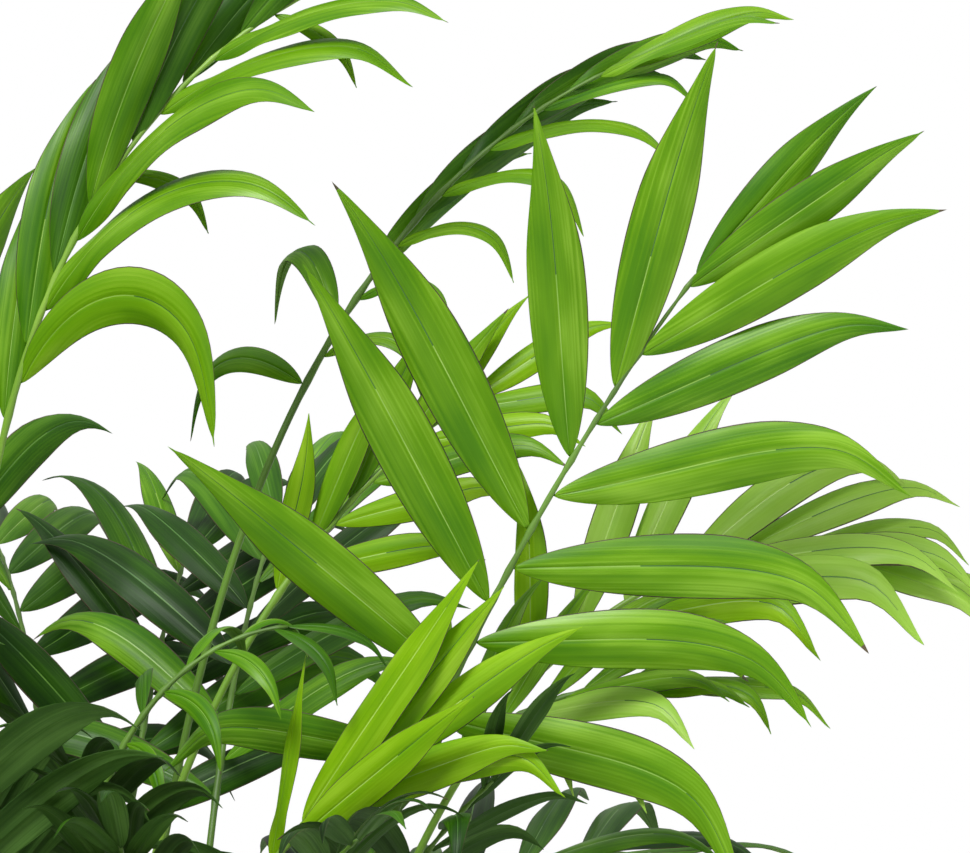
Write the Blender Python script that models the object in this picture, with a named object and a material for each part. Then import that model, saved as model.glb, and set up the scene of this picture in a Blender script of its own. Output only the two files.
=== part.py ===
"""Parlour palm in a plain clay pot: a clump of ten short canes whose feathered fronds arch out all round.

Metres, +Z up. The origin is the centre of the pot's flat underside, +X is the side that the tall
open frond leans to, and -Y is the front.

A cane stands on the soil and ends in the folded spear of its next leaf. A frond is one thin solid: a
petiole that leaves its cane 0.3 mm clear, the rachis that it turns into, and the leaflets that grow out
of the rachis on both sides. Every frond follows the same rule from a handful of named values.
"""

import math
from collections import Counter, namedtuple

import bmesh
import bpy
import numpy as np
from mathutils.bvhtree import BVHTree

Cane = namedtuple("Cane", "name foot axis height azimuth lean spear")
Row = namedtuple("Row", "angles lengths sags tilts power lift")
Rows = namedtuple("Rows", "right left tip")
EvenRows = namedtuple("EvenRows", "pairs longest right left sag power tilt lift")
Frond = namedtuple("Frond", "name cane up azimuth rise nod bend petiole blade turn cuts rows")
Tier = namedtuple("Tier", "name count pairs first last rise nod petiole blade leaf spread sag")
Path = namedtuple("Path", "distance points along side normal half")
Leaflet = namedtuple("Leaflet", "side pair cuts line along across normal width thickness")

MM = 0.001
SEED = 11
CLEAR = 0.3 * MM


def mm(*lengths):
    """Lengths in millimetres, in metres."""
    return tuple(length * MM for length in lengths)


# Pot and soil
POT_HEIGHT = 150 * MM
POT_MOUTH_RADIUS = 84 * MM
POT_COLLAR_HEIGHT = 30 * MM
POT_COLLAR_STEP = 4 * MM
POT_FOOT_RADIUS = 58 * MM
POT_WALL = 6 * MM
POT_FLOOR = 9 * MM
POT_CHAMFER = 2 * MM
POT_RIM_ROUND = 1 * MM
POT_SIDES = 32
SOIL_BELOW_RIM = 16 * MM
SOIL_SIDE_CLEAR = 0.45 * MM
SOIL_TOP = POT_HEIGHT - SOIL_BELOW_RIM

# Canes: a spiral of seedlings, the outer ones leaning out most
CANE_COUNT = 10
CANE_RING_RADIUS = 46 * MM
CANE_FOOT_RADIUS = 7.5 * MM
CANE_RADIUS = 5.2 * MM
CANE_NECK_RADIUS = 3.8 * MM
CANE_FLARE_HEIGHT = 5 * MM
CANE_SIDES = 9
CANE_HEIGHT_INNER = 104 * MM
CANE_HEIGHT_OUTER = 66 * MM
CANE_LEAN_INNER = 2
CANE_LEAN_OUTER = 9
CANE_RINGS = (0, 0.04, 0.1, 0.25, 0.6, 1)
SPEAR_INNER = 119 * MM
SPEAR_OUTER = 71 * MM
SPEAR_TIP_RADIUS = 0.5 * MM
SPEAR_TAPER = 1.4
SPEAR_RINGS = (0.35, 0.75, 1)
GOLDEN_ANGLE = 137.50776

# Petiole and rachis: half the width of a four-cornered bar that thins towards its tip
PETIOLE_FOOT_HALF = 2.1 * MM
PETIOLE_HALF = 1.25 * MM
RACHIS_TIP_HALF = 0.5 * MM
PETIOLE_RINGS = 5
PATH_POINTS = 81
RACHIS_END_SPARE = 3 * MM

# Leaflets: shares of their own length, and degrees
LEAFLET_FOOT = 3.2 * MM
WIDTH_SHARE = 0.17
WIDTH_RISE = 0.75
WIDTH_FALL = 0.9
THICKNESS_SHARE = 0.013
TIP_THINNING = 0.5
FOLD = 12
LINE_POINTS = 21
LEAFLET_CUTS = (4, 12)
FINE_CUTS = (3, 9, 15)

# An even pair of rows: where the longest leaflet sits, how short the last is, and the ranges of chance
LONGEST_AT = 0.38
SHORTEST_SHARE = 0.72
LENGTH_FALL = 1.6
TIP_LENGTH_SHARE = 0.8
TIP_SAG_SHARE = 0.6
SAG_POWER = 2.8
LEAFLET_LIFT = 12
ANGLE_CHANCE = 8
LENGTH_CHANCE = (0.88, 1.06)
SAG_CHANCE = (0.6, 1.4)
TIP_ANGLES = (3, 10)
TIP_LIFT = 2

# The fronds that the view from the front shows one by one. A row lists its leaflets from the base to
# the tip: angles from the rachis, lengths, how far each sags and how far its face is tilted.
OPEN_ROWS = Rows(
    Row((80, 63, 60, 50, 35, 27, 18), mm(114, 117, 123, 119, 109, 114, 95),
        (60, 60, 58, 30, 20, 12, 6), (0,) * 7, 3.6, 8),
    Row((108, 74, 55, 57, 37, 17, 0), mm(84, 121, 128, 132, 117, 119, 0),
        (20, 12, 8, 14, 6, 4, 0), (0,) * 7, 3.6, 8),
    Row((4,), mm(86), (18,), (0,), 3.6, 3),
)
ARCHING_ROWS = Rows(
    Row((16, 15, 11, 54, 18, 17, 50, 15), mm(108, 122, 120, 40, 96, 92, 38, 76),
        (185, 104, 80, 75, 60, 46, 60, 30), (-10, -50, -50, -20, -50, -50, -20, -50), 1.2, 4),
    Row((12, 13, 13, 12, 12, 11, 10, 8), mm(88, 98, 102, 102, 100, 96, 90, 80),
        (82, 74, 66, 56, 48, 40, 34, 28), (20,) * 8, 1.4, 4),
    Row((5,), mm(84), (30,), (0,), 2.4, 2),
)
SWEPT_ROWS = Rows(
    Row((34, 32, 30, 28, 22, 18, 14), mm(46, 42, 50, 58, 72, 56, 70),
        (150, 140, 120, 100, 80, 40, 20), (-40,) * 7, 1.8, 6),
    Row((84, 52, 0, 0, 1, 2, 2), mm(64, 66, 72, 86, 84, 76, 66),
        (170, 230, 44, 44, 42, 36, 30), (18, 18, 50, 50, 50, 50, 40), 2, -4),
    Row((3,), mm(66), (20,), (0,), 2.4, 2),
)
YOUNG_ROWS = Rows(
    Row((14, 24, 30), mm(88, 84, 74), (12, 16, 20), (0,) * 3, 3, 6),
    Row((26, 8, 10), mm(68, 106, 88), (4, 10, 10), (-40, -20, 0), 3, 6),
    Row((0,), mm(86), (4,), (0,), 3, 2),
)
PICKED = (
    Frond("frond_open_right", 5, 0.9, 0, 72.5, 53, 1.6, 178 * MM, 184 * MM, 90, FINE_CUTS, OPEN_ROWS),
    Frond("frond_tall_left", 9, 0.9, 2, 93, 20, 2.76, 285 * MM, 200 * MM, 72, FINE_CUTS, ARCHING_ROWS),
    Frond("frond_tall_middle", 6, 0.9, 2, 82, 25, 2.63, 300 * MM, 155 * MM, 62, FINE_CUTS, SWEPT_ROWS),
    Frond("frond_back_right", 8, 0.85, 6, 74, -8, 2.6, 220 * MM, 118 * MM, 55, LEAFLET_CUTS,
          EvenRows(6, 94 * MM, (14, 50), (3, 40), (30, 60), SAG_POWER, (0, 0), LEAFLET_LIFT)),
    Frond("frond_low_right", 3, 0.85, -8, 72, -2, 2.3, 176 * MM, 90 * MM, 50, LEAFLET_CUTS,
          EvenRows(6, 72 * MM, (16, 44), (14, 44), (45, 45), SAG_POWER, (0, 0), LEAFLET_LIFT)),
    Frond("frond_young_front", 2, 0.9, -12, 76, 34, 2.2, 134 * MM, 46 * MM, 78, LEAFLET_CUTS, YOUNG_ROWS),
    Frond("frond_low_front", 7, 0.9, 0, 89, 4, 3.4, 168 * MM, 80 * MM, 30, LEAFLET_CUTS,
          EvenRows(4, 46 * MM, (34, 80), (34, 80), (110, 110), 1.6, (0, 0), 0)),
    Frond("frond_behind", 1, 0.95, 8, 80, 34, 1.8, 214 * MM, 94 * MM, 70, LEAFLET_CUTS,
          EvenRows(5, 76 * MM, (30, 46), (12, 20), (20, 10), SAG_POWER, (0, 0), LEAFLET_LIFT)),
)

# The rest of the crown, tier by tier from the top down, each spread over an arc of azimuths
TIERS = (
    Tier("top", 3, 6, 148, 206, 88, 34, 268 * MM, 190 * MM, 112 * MM, (20, 48), 45),
    Tier("tall", 6, 6, 128, 212, 84, 44, 215 * MM, 180 * MM, 110 * MM, (20, 50), 45),
    Tier("inner", 10, 5, 165, 315, 80, 30, 104 * MM, 96 * MM, 66 * MM, (24, 66), 80),
    Tier("middle", 9, 6, 78, 238, 78, 18, 145 * MM, 155 * MM, 104 * MM, (24, 62), 60),
    Tier("skirt", 12, 6, -150, 180, 60, -18, 96 * MM, 145 * MM, 98 * MM, (24, 66), 60),
)
TIER_BEND = 1.5
LOAD_TURN = 45
AZIMUTH_CHANCE = 8
UP_RANGE = (0.6, 0.95)
RISE_CHANCE = 4
NOD_CHANCE = 10
PETIOLE_CHANCE = (0.88, 1.12)
BLADE_CHANCE = (0.92, 1.08)
TURN_CHANCE = 25

# What keeps the pieces apart
CANE_FREE_ANGLE = 5
BAR_ROOM = 0.6 * MM
LEAF_ROOM = 0.9 * MM
SIBLING_ROOM = 0.35 * MM
ROOT_STEPS = 4
FOOT_DROPS = (0, 0.15, 0.3)
AZIMUTH_TURNS = (0, 5, -5, 10, -10, 16, -16, 23, -23, 31, -31)
LEAFLET_TURNS = (0, 8, -8, 16, -16, 25, -25, 35, -35)

UP = np.array((0, 0, 1.0))


def unit(vectors):
    """Each vector divided by its length."""
    return vectors / np.linalg.norm(vectors, axis=-1, keepdims=True)


def heading(azimuth, elevation):
    """Unit vectors at an azimuth from +X towards +Y and an elevation above the ground, in degrees."""
    a, e = np.broadcast_arrays(np.radians(azimuth), np.radians(elevation))
    return np.stack([np.cos(e) * np.cos(a), np.cos(e) * np.sin(a), np.sin(e)], axis=-1)


def between(first, last, share):
    return first + (last - first) * share


def circle(sides):
    """The corners of a level ring of radius 1."""
    turn = np.arange(sides) * 2 * math.pi / sides
    return np.stack([np.cos(turn), np.sin(turn), np.zeros(sides)], axis=-1)


def smooth_step(x):
    """A blend from 0 to 1 with level ends."""
    x = np.clip(x, 0, 1)
    return x * x * (3 - 2 * x)


def run_along(start, directions, length):
    """The line from a start point whose direction at even steps is given: the sum of those steps."""
    steps = (directions[1:] + directions[:-1]) / 2 * length / (len(directions) - 1)
    return start + np.vstack([np.zeros(3), np.cumsum(steps, axis=0)])


def cane_plan(number):
    """A cane on a spiral: the radius grows as the root of its number, at a golden angle each time."""
    share = math.sqrt((number + 0.5) / CANE_COUNT)
    azimuth = (number * GOLDEN_ANGLE) % 360
    lean = between(CANE_LEAN_INNER, CANE_LEAN_OUTER, share)
    height = between(CANE_HEIGHT_INNER, CANE_HEIGHT_OUTER, share)
    foot = CANE_RING_RADIUS * share * heading(azimuth, 0) + (SOIL_TOP + CLEAR) * UP
    spear = between(SPEAR_INNER, SPEAR_OUTER, share)
    return Cane(f"cane_{number + 1}", foot, heading(azimuth, 90 - lean), height, azimuth, lean, spear)


def cane_radius(share):
    """The radius at a share of the cane's height: a root flare that fades, on an even taper to the neck."""
    flare = (CANE_FOOT_RADIUS - CANE_RADIUS) * np.exp(-share * CANE_HEIGHT_INNER / CANE_FLARE_HEIGHT)
    return between(CANE_RADIUS, CANE_NECK_RADIUS, share) + flare


def cane_rings(cane):
    """Level rings up the leaning axis, first along the cane and then along the spear to its point."""
    up = np.array(CANE_RINGS)
    spear = np.array(SPEAR_RINGS)
    heights = np.concatenate([up * cane.height, cane.height + spear * cane.spear])
    spear_radii = between(CANE_NECK_RADIUS, SPEAR_TIP_RADIUS, spear**SPEAR_TAPER)
    radii = np.concatenate([cane_radius(up), spear_radii])
    return cane.foot + heights[:, None, None] * cane.axis + radii[:, None, None] * circle(CANE_SIDES)


def frond_path(frond, cane, azimuth):
    """The frond's line from the petiole's foot to the rachis tip.

    The elevation goes from rise to nod with a power of the share of the length, and the line is its
    sum. The foot lies beside the cane, clear of it. The bar turns about its own line along the petiole.
    """
    lean_that_way = cane.lean * math.cos(math.radians(azimuth - cane.azimuth))
    rise = min(frond.rise, 90 - lean_that_way - CANE_FREE_ANGLE)
    share = np.linspace(0, 1, PATH_POINTS)
    elevation = between(rise, frond.nod, share**frond.bend)
    along = heading(azimuth, elevation)
    normal = heading(azimuth, elevation + 90)
    side = np.cross(along, normal)

    out = heading(azimuth, 0)
    way = unit(out - (out @ cane.axis) * cane.axis)
    reach = cane_radius(frond.up) + CLEAR + PETIOLE_FOOT_HALF
    foot = cane.foot + cane.axis * cane.height * frond.up + way * reach
    length = frond.petiole + frond.blade
    distance = share * length

    turn = np.radians(frond.turn * smooth_step(distance / frond.petiole))[:, None]
    rolled_normal = np.cos(turn) * normal + np.sin(turn) * side
    rolled_side = np.cos(turn) * side - np.sin(turn) * normal
    half = np.where(
        distance < frond.petiole,
        between(PETIOLE_FOOT_HALF, PETIOLE_HALF, np.sqrt(distance / frond.petiole)),
        between(PETIOLE_HALF, RACHIS_TIP_HALF, (distance - frond.petiole) / frond.blade),
    )
    return Path(distance, run_along(foot, along, length), along, rolled_side, rolled_normal, half)


def at(path, field, distance):
    """A field of the path, read between its points at the given distances."""
    values = getattr(path, field)
    if values.ndim == 1:
        return np.interp(distance, path.distance, values)
    return np.stack([np.interp(distance, path.distance, values[:, i]) for i in range(3)], axis=-1)


def row_of(frond, side):
    """The row of leaflets on a side: 1 is the right one, -1 the left one and 0 the leaflet at the tip."""
    return {1: frond.rows.right, -1: frond.rows.left, 0: frond.rows.tip}[side]


def leaflet_feet(frond, side):
    """Where the leaflets of a side start along the frond. The right ones stand half a step further on."""
    pairs = len(frond.rows.right.angles)
    step = (frond.blade - RACHIS_END_SPARE - LEAFLET_FOOT) / (pairs - 0.5)
    first = frond.petiole + (step / 2 if side > 0 else 0)
    return first + step * np.arange(pairs)


def bar_rings(frond, path, room=0):
    """Four corners for each ring of petiole and rachis: left up, left down, right down, right up.

    After the petiole's rings come two for the foot of each leaflet, and one at the rachis tip.
    """
    petiole = np.linspace(0, 1, PETIOLE_RINGS)[:-1] * frond.petiole
    corners = []
    for side, lift in ((-1, 1), (-1, -1), (1, -1), (1, 1)):
        feet = leaflet_feet(frond, side)
        pairs = np.stack([feet, feet + LEAFLET_FOOT], axis=-1).ravel()
        distance = np.concatenate([petiole, pairs, [frond.petiole + frond.blade]])
        half = at(path, "half", distance)[:, None] + room
        across = side * at(path, "side", distance) + lift * at(path, "normal", distance)
        corners.append(at(path, "points", distance) + half * across)
    return np.stack(corners, axis=1)


def leaflet_start(frond, path, side, pair, lift_turn):
    """Where a leaflet leaves the rachis, its first direction, its upper face, and the rachis there."""
    row = row_of(frond, side)
    middle = frond.petiole + frond.blade
    if side:
        middle = leaflet_feet(frond, side)[pair] + LEAFLET_FOOT / 2
    along, across, normal = (unit(at(path, field, middle)) for field in ("along", "side", "normal"))
    outward = side * across if side else across
    angle = math.radians(row.angles[pair])
    lift = math.radians(row.lift + lift_turn)
    flat = math.cos(angle) * along + math.sin(angle) * outward
    over = unit(normal - (normal @ flat) * flat)
    start = math.cos(lift) * flat + math.sin(lift) * over
    face = math.cos(lift) * over - math.sin(lift) * flat
    root = at(path, "points", middle) + abs(side) * outward * at(path, "half", middle)
    return root, start, face, along if side else across


def sagging_frame(start, face, sag, power, tilt):
    """Directions along and across a leaflet and out of its face, at even steps.

    The elevation e sinks from that of the start by the rule that the inverse hyperbolic tangent of
    sin e falls by the sag times a power of the share t, which is the path of something that turns
    towards the ground. The face keeps its roll about the line, and a tilt is added near the foot.
    """
    t = np.linspace(0, 1, LINE_POINTS)
    level = unit(np.array((start[0], start[1], 1e-9)))
    nearly_upright = 0.9999
    rise = math.atanh(min(max(start[2], -nearly_upright), nearly_upright))
    sine = np.tanh(rise - math.radians(sag) * t**power)[:, None]
    cosine = np.sqrt(1 - sine**2)
    along = cosine * level + sine * UP
    over = cosine * UP - sine * level
    beside = np.cross(level, UP)
    roll = math.atan2(face @ beside, face @ over[0]) + math.radians(tilt) * smooth_step(t * 4)[:, None]
    normal = np.cos(roll) * over + np.sin(roll) * beside
    return along, np.cross(normal, along), normal


def leaf_width(share):
    """The width at a share of the length, with 1 as the widest: t to one power times 1 - t to another."""
    widest = WIDTH_RISE / (WIDTH_RISE + WIDTH_FALL)
    peak = widest**WIDTH_RISE * (1 - widest) ** WIDTH_FALL
    return share**WIDTH_RISE * (1 - share) ** WIDTH_FALL / peak


def leaflet_plan(frond, path, side, pair, lift_turn=0):
    """One leaflet's midline with its frame, width and thickness."""
    row = row_of(frond, side)
    length = row.lengths[pair]
    root, start, face, towards_tip = leaflet_start(frond, path, side, pair, lift_turn)
    along, across, normal = sagging_frame(start, face, row.sags[pair], row.power, row.tilts[pair])
    across *= np.sign(across[0] @ towards_tip) or 1
    t = np.linspace(0, 1, LINE_POINTS)
    width = WIDTH_SHARE * length * leaf_width(t)
    thickness = THICKNESS_SHARE * length * (1 - TIP_THINNING * t)
    line = run_along(root, along, length)
    return Leaflet(side, pair, frond.cuts, line, along, across, normal, width, thickness)


def leaflet_sections(leaflet, picks, room=0):
    """Four corners at each picked point: near edge, underside, far edge and ridge of a low roof shape."""
    picks = list(picks)
    line, across, normal = leaflet.line[picks], leaflet.across[picks], leaflet.normal[picks]
    half = leaflet.width[picks, None] / 2 + room
    thick = leaflet.thickness[picks, None] / 2 + room
    drop = half * math.sin(math.radians(FOLD)) * normal
    reach = half * math.cos(math.radians(FOLD)) * across
    ridge = thick * normal
    return np.stack([line - reach - drop, line - ridge, line + reach - drop, line + ridge], axis=1)


def split_walls(low, high):
    """Two triangles for each wall between two rings of corners.

    Each wall is split from its odd corner below to its even corner above. In a leaflet that is from
    the midrib to the margin on both faces, so a twist never brings one face through the other.
    """
    faces = []
    for corner in range(len(low)):
        after = (corner + 1) % len(low)
        odd, even = (after, corner) if corner % 2 == 0 else (corner, after)
        faces += [(low[corner], low[after], high[even]), (low[odd], high[after], high[corner])]
    return faces


def tree_of(rings, tip=None):
    """A search tree over the walls between rings of corners, with the last ring closed to a tip."""
    count, sides = rings.shape[:2]
    numbers = np.arange(count * sides).reshape(count, sides).tolist()
    walls = [face for low, high in zip(numbers, numbers[1:]) for face in split_walls(low, high)]
    points = rings.reshape(-1, 3)
    if tip is not None:
        points = np.vstack([points, tip])
        last = numbers[-1]
        walls += [(corner, last[(i + 1) % sides], count * sides) for i, corner in enumerate(last)]
    return BVHTree.FromPolygons(points.tolist(), walls), points.min(axis=0), points.max(axis=0)


class Space:
    """The pieces that stand so far, which a new one has to keep clear of."""

    def __init__(self):
        self.owners = []
        self.trees = []
        self.boxes = np.empty((0, 2, 3))

    def add(self, owner, shape):
        tree, low, high = shape
        self.owners.append(owner)
        self.trees.append(tree)
        self.boxes = np.concatenate([self.boxes, [[low, high]]])

    def is_free(self, shape, own=None, others=True):
        """Whether a shape crosses no piece: of one owner only, or of all the others."""
        tree, low, high = shape
        near = (self.boxes[:, 1] > low).all(axis=1) & (self.boxes[:, 0] < high).all(axis=1)
        for number in np.flatnonzero(near):
            if (self.owners[number] != own) == others and tree.overlap(self.trees[number]):
                return False
        return True


def place_path(space, frond, canes):
    """The frond's line at the first foot and azimuth whose bar is clear of what stands there."""
    for drop in FOOT_DROPS:
        lower = frond._replace(up=frond.up - drop)
        for turn in AZIMUTH_TURNS:
            path = frond_path(lower, canes[frond.cane], frond.azimuth + turn)
            bar = bar_rings(frond, path)
            wider_bar = bar_rings(frond, path, BAR_ROOM)
            if space.is_free(tree_of(bar[:2])) and space.is_free(tree_of(wider_bar[1:])):
                space.add(frond.name, tree_of(bar))
                return path
    return None


def leaflet_trees(leaflet, first, room):
    """The smooth leaflet from a step of its line on, and the solid that stands for it with few sections."""
    solid = leaflet.cuts if first >= ROOT_STEPS else (0, *leaflet.cuts)
    shapes = (range(first, LINE_POINTS - 1), solid)
    return [tree_of(leaflet_sections(leaflet, picks, room), leaflet.line[-1]) for picks in shapes]


def place_leaflet(space, frond, path, side, pair):
    """The leaflet at the first lift that keeps it clear of all that stands there, or None."""
    for turn in LEAFLET_TURNS:
        leaflet = leaflet_plan(frond, path, side, pair, turn)
        wide = leaflet_trees(leaflet, 1, LEAF_ROOM)
        outer = leaflet_trees(leaflet, ROOT_STEPS, SIBLING_ROOM)
        if (all(space.is_free(shape, frond.name) for shape in wide)
                and all(space.is_free(shape, frond.name, False) for shape in outer)):
            for shape in leaflet_trees(leaflet, 1, 0):
                space.add(frond.name, shape)
            return leaflet
    return None


def leaf_order(frond):
    """Every leaflet of the frond: the tip's, then pairs from the tip down. A length of 0 stands for none."""
    places = [(0, 0)]
    for pair in reversed(range(len(frond.rows.right.angles))):
        places += [(side, pair) for side in (1, -1) if row_of(frond, side).lengths[pair] > 0]
    return places


def even_rows(rng, plan):
    """Two rows of leaflets and the one at the tip.

    The angles open evenly from the tip to the base, and the lengths peak a little below the middle.
    The plan's right and left are each row's angles at the tip and at the base, and its sag and tilt
    are those of the right row and of the left.
    """
    place = np.arange(plan.pairs) / (plan.pairs - 1)
    off_peak = np.abs(place - LONGEST_AT) / (1 - LONGEST_AT)
    shape = 1 - (1 - SHORTEST_SHARE) * off_peak**LENGTH_FALL
    rows = []
    for spread, sag, tilt in zip((plan.right, plan.left), plan.sag, plan.tilt):
        angles = between(spread[1], spread[0], place) + rng.uniform(-ANGLE_CHANCE, ANGLE_CHANCE, plan.pairs)
        lengths = plan.longest * shape * rng.uniform(*LENGTH_CHANCE, plan.pairs)
        sags = sag * rng.uniform(*SAG_CHANCE, plan.pairs)
        tilts = (tilt,) * plan.pairs
        rows.append(Row(tuple(angles), tuple(lengths), tuple(sags), tilts, plan.power, plan.lift))
    tip_angle = rng.uniform(*TIP_ANGLES)
    tip_length = plan.longest * TIP_LENGTH_SHARE
    tip = Row((tip_angle,), (tip_length,), (plan.sag[0] * TIP_SAG_SHARE,), (0,), plan.power, TIP_LIFT)
    return Rows(*rows, tip)


def picked_fronds(rng):
    """The picked fronds, with the rows worked out where they are even."""
    return [
        frond._replace(rows=even_rows(rng, frond.rows)) if isinstance(frond.rows, EvenRows) else frond
        for frond in PICKED
    ]


def tier_fronds(tier, rng, canes, load):
    """A tier's fronds, spread evenly over its arc, each on the cane that faces its way and carries least."""
    leaves = EvenRows(tier.pairs, tier.leaf, tier.spread, tier.spread, (tier.sag, tier.sag), SAG_POWER,
                      (0, 0), LEAFLET_LIFT)
    fronds = []
    turned = np.array([cane.azimuth for cane in canes])
    for middle in np.linspace(tier.first, tier.last, tier.count):
        azimuth = middle + rng.uniform(-AZIMUTH_CHANCE, AZIMUTH_CHANCE)
        apart = np.abs((azimuth - turned + 180) % 360 - 180)
        cane = int(np.argmin(apart + LOAD_TURN * np.array(load)))
        load[cane] += 1
        fronds.append(Frond(
            f"frond_{tier.name}", cane, rng.uniform(*UP_RANGE), azimuth,
            tier.rise + rng.uniform(-RISE_CHANCE, RISE_CHANCE),
            tier.nod + rng.uniform(-NOD_CHANCE, NOD_CHANCE),
            TIER_BEND, tier.petiole * rng.uniform(*PETIOLE_CHANCE), tier.blade * rng.uniform(*BLADE_CHANCE),
            rng.uniform(-TURN_CHANCE, TURN_CHANCE), LEAFLET_CUTS, even_rows(rng, leaves)))
    return fronds


def numbered(frond, count):
    """The frond with its number in its tier put behind its name. A picked frond keeps its name."""
    if frond.name in {picked.name for picked in PICKED}:
        return frond
    return frond._replace(name=f"{frond.name}_{count[frond.name] + 1}")


def frond_plans(canes):
    """Every frond with its line and leaflets, the picked ones first, each clear of those before it."""
    rng = np.random.default_rng(SEED)
    space = Space()
    for cane in canes:
        space.add(cane.name, tree_of(cane_rings(cane)))
    space.add("pot", tree_of(turned_rings(pot_outline())))
    fronds = picked_fronds(rng)
    load = [sum(frond.cane == number for frond in fronds) for number in range(len(canes))]
    for tier in TIERS:
        fronds += tier_fronds(tier, rng, canes, load)
    count = Counter()
    placed = []
    for frond in fronds:
        named = numbered(frond, count)
        path = place_path(space, named, canes)
        if path:
            count[frond.name] += 1
            placed.append((named, path))
    plans = []
    for frond, path in placed:
        leaflets = [place_leaflet(space, frond, path, side, pair) for side, pair in leaf_order(frond)]
        plans.append((frond, path, [leaflet for leaflet in leaflets if leaflet]))
    return plans


def material(name, colour, roughness):
    """A plain finish."""
    finish = bpy.data.materials.new(name)
    finish.use_nodes = True
    shader = finish.node_tree.nodes["Principled BSDF"]
    shader.inputs["Base Color"].default_value = (*colour, 1)
    shader.inputs["Roughness"].default_value = roughness
    finish.diffuse_color = (*colour, 1)
    return finish


def keep(name, bm, finish):
    """An object of the finished mesh, its faces turned out and cut into triangles."""
    bmesh.ops.recalc_face_normals(bm, faces=bm.faces)
    bmesh.ops.triangulate(bm, faces=bm.faces)
    mesh = bpy.data.meshes.new(name)
    bm.to_mesh(mesh)
    bm.free()
    mesh.materials.append(finish)
    bpy.context.scene.collection.objects.link(bpy.data.objects.new(name, mesh))


def loft(bm, rings):
    """Walls between rings of corners, closed by a face at each end: the last face and the wall faces."""
    verts = [[bm.verts.new(corner) for corner in ring] for ring in rings]
    walls = []
    for low, high in zip(verts, verts[1:]):
        after = [(i + 1) % len(low) for i in range(len(low))]
        walls.append([bm.faces.new((low[i], low[j], high[j], high[i])) for i, j in enumerate(after)])
    bm.faces.new(verts[0][::-1])
    return bm.faces.new(verts[-1]), walls


def pot_outline():
    """Radius and height up the outside of the pot, over its rim and down the inside to the floor."""
    collar = POT_HEIGHT - POT_COLLAR_HEIGHT
    return np.array((
        (POT_FOOT_RADIUS - POT_CHAMFER, 0),
        (POT_FOOT_RADIUS, POT_CHAMFER),
        (POT_MOUTH_RADIUS - POT_COLLAR_STEP - POT_CHAMFER, collar - POT_CHAMFER),
        (POT_MOUTH_RADIUS - POT_CHAMFER, collar),
        (POT_MOUTH_RADIUS, collar + POT_CHAMFER),
        (POT_MOUTH_RADIUS + POT_RIM_ROUND, POT_HEIGHT - POT_CHAMFER),
        (POT_MOUTH_RADIUS - POT_RIM_ROUND, POT_HEIGHT),
        (POT_MOUTH_RADIUS - POT_WALL + POT_RIM_ROUND, POT_HEIGHT),
        (POT_MOUTH_RADIUS - POT_WALL, POT_HEIGHT - POT_CHAMFER),
        (POT_FOOT_RADIUS - POT_WALL, POT_FLOOR),
    ))


def turned_rings(outline):
    """The outline's points, each turned into a ring about Z."""
    return outline[:, 0, None, None] * circle(POT_SIDES) + outline[:, 1, None, None] * UP


def build_pot(finish):
    bm = bmesh.new()
    loft(bm, turned_rings(pot_outline()))
    keep("pot", bm, finish)


def build_soil(finish):
    """A plug of soil that stays clear of the pot's floor and wall."""
    (top_radius, top_height), (floor_radius, floor_height) = pot_outline()[-2:]
    bottom = floor_height + CLEAR
    outline = []
    for height in (bottom, SOIL_TOP):
        share = (height - floor_height) / (top_height - floor_height)
        outline.append((between(floor_radius, top_radius, share) - SOIL_SIDE_CLEAR, height))
    bm = bmesh.new()
    loft(bm, turned_rings(np.array(outline)))
    keep("soil", bm, finish)


def build_cane(cane, finish):
    bm = bmesh.new()
    loft(bm, cane_rings(cane))
    keep(cane.name, bm, finish)


def grow_leaflet(bm, ring, roles, leaflet):
    """The leaflet drawn out of an open ring of the bar's corners, section by section, to a point.

    The roles say which corner of a section each corner of the ring becomes. A margin comes first, as
    the walls are split by the order of the corners.
    """
    for section in leaflet_sections(leaflet, leaflet.cuts):
        following = [bm.verts.new(section[role]) for role in roles]
        for corners in split_walls(ring, following):
            bm.faces.new(corners)
        ring = following
    point = bm.verts.new(leaflet.line[-1])
    for i, corner in enumerate(ring):
        bm.faces.new((corner, ring[(i + 1) % len(ring)], point))


def build_frond(frond, path, leaflets, finish):
    """The bar, with a leaflet drawn out of its side at each foot and one out of its end.

    The bar's corners run left up, left down, right down, right up. A leaflet's run near edge,
    underside, far edge and ridge, so each corner of a foot turns an eighth about the leaflet's line.
    """
    bm = bmesh.new()
    end, walls = loft(bm, bar_rings(frond, path))
    for leaflet in leaflets:
        wall = walls[PETIOLE_RINGS - 1 + 2 * leaflet.pair]
        face = {1: wall[2], -1: wall[0], 0: end}[leaflet.side]
        ring = list(face.verts)
        bm.faces.remove(face)
        if leaflet.side > 0:
            grow_leaflet(bm, ring[1:] + ring[:1], (0, 3, 2, 1), leaflet)
        else:
            grow_leaflet(bm, ring, (0, 1, 2, 3), leaflet)
    keep(frond.name, bm, finish)


def build_all():
    for thing in list(bpy.data.objects):
        bpy.data.objects.remove(thing)
    clay = material("fired_clay", (0.45, 0.17, 0.08), 0.85)
    earth = material("potting_soil", (0.035, 0.02, 0.012), 0.95)
    cane_green = material("cane_skin", (0.12, 0.22, 0.04), 0.5)
    leaf_green = material("palm_leaf", (0.07, 0.24, 0.02), 0.45)
    build_pot(clay)
    build_soil(earth)
    canes = [cane_plan(number) for number in range(CANE_COUNT)]
    for cane in canes:
        build_cane(cane, cane_green)
    for frond, path, leaflets in frond_plans(canes):
        build_frond(frond, path, leaflets, leaf_green)


build_all()
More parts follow.
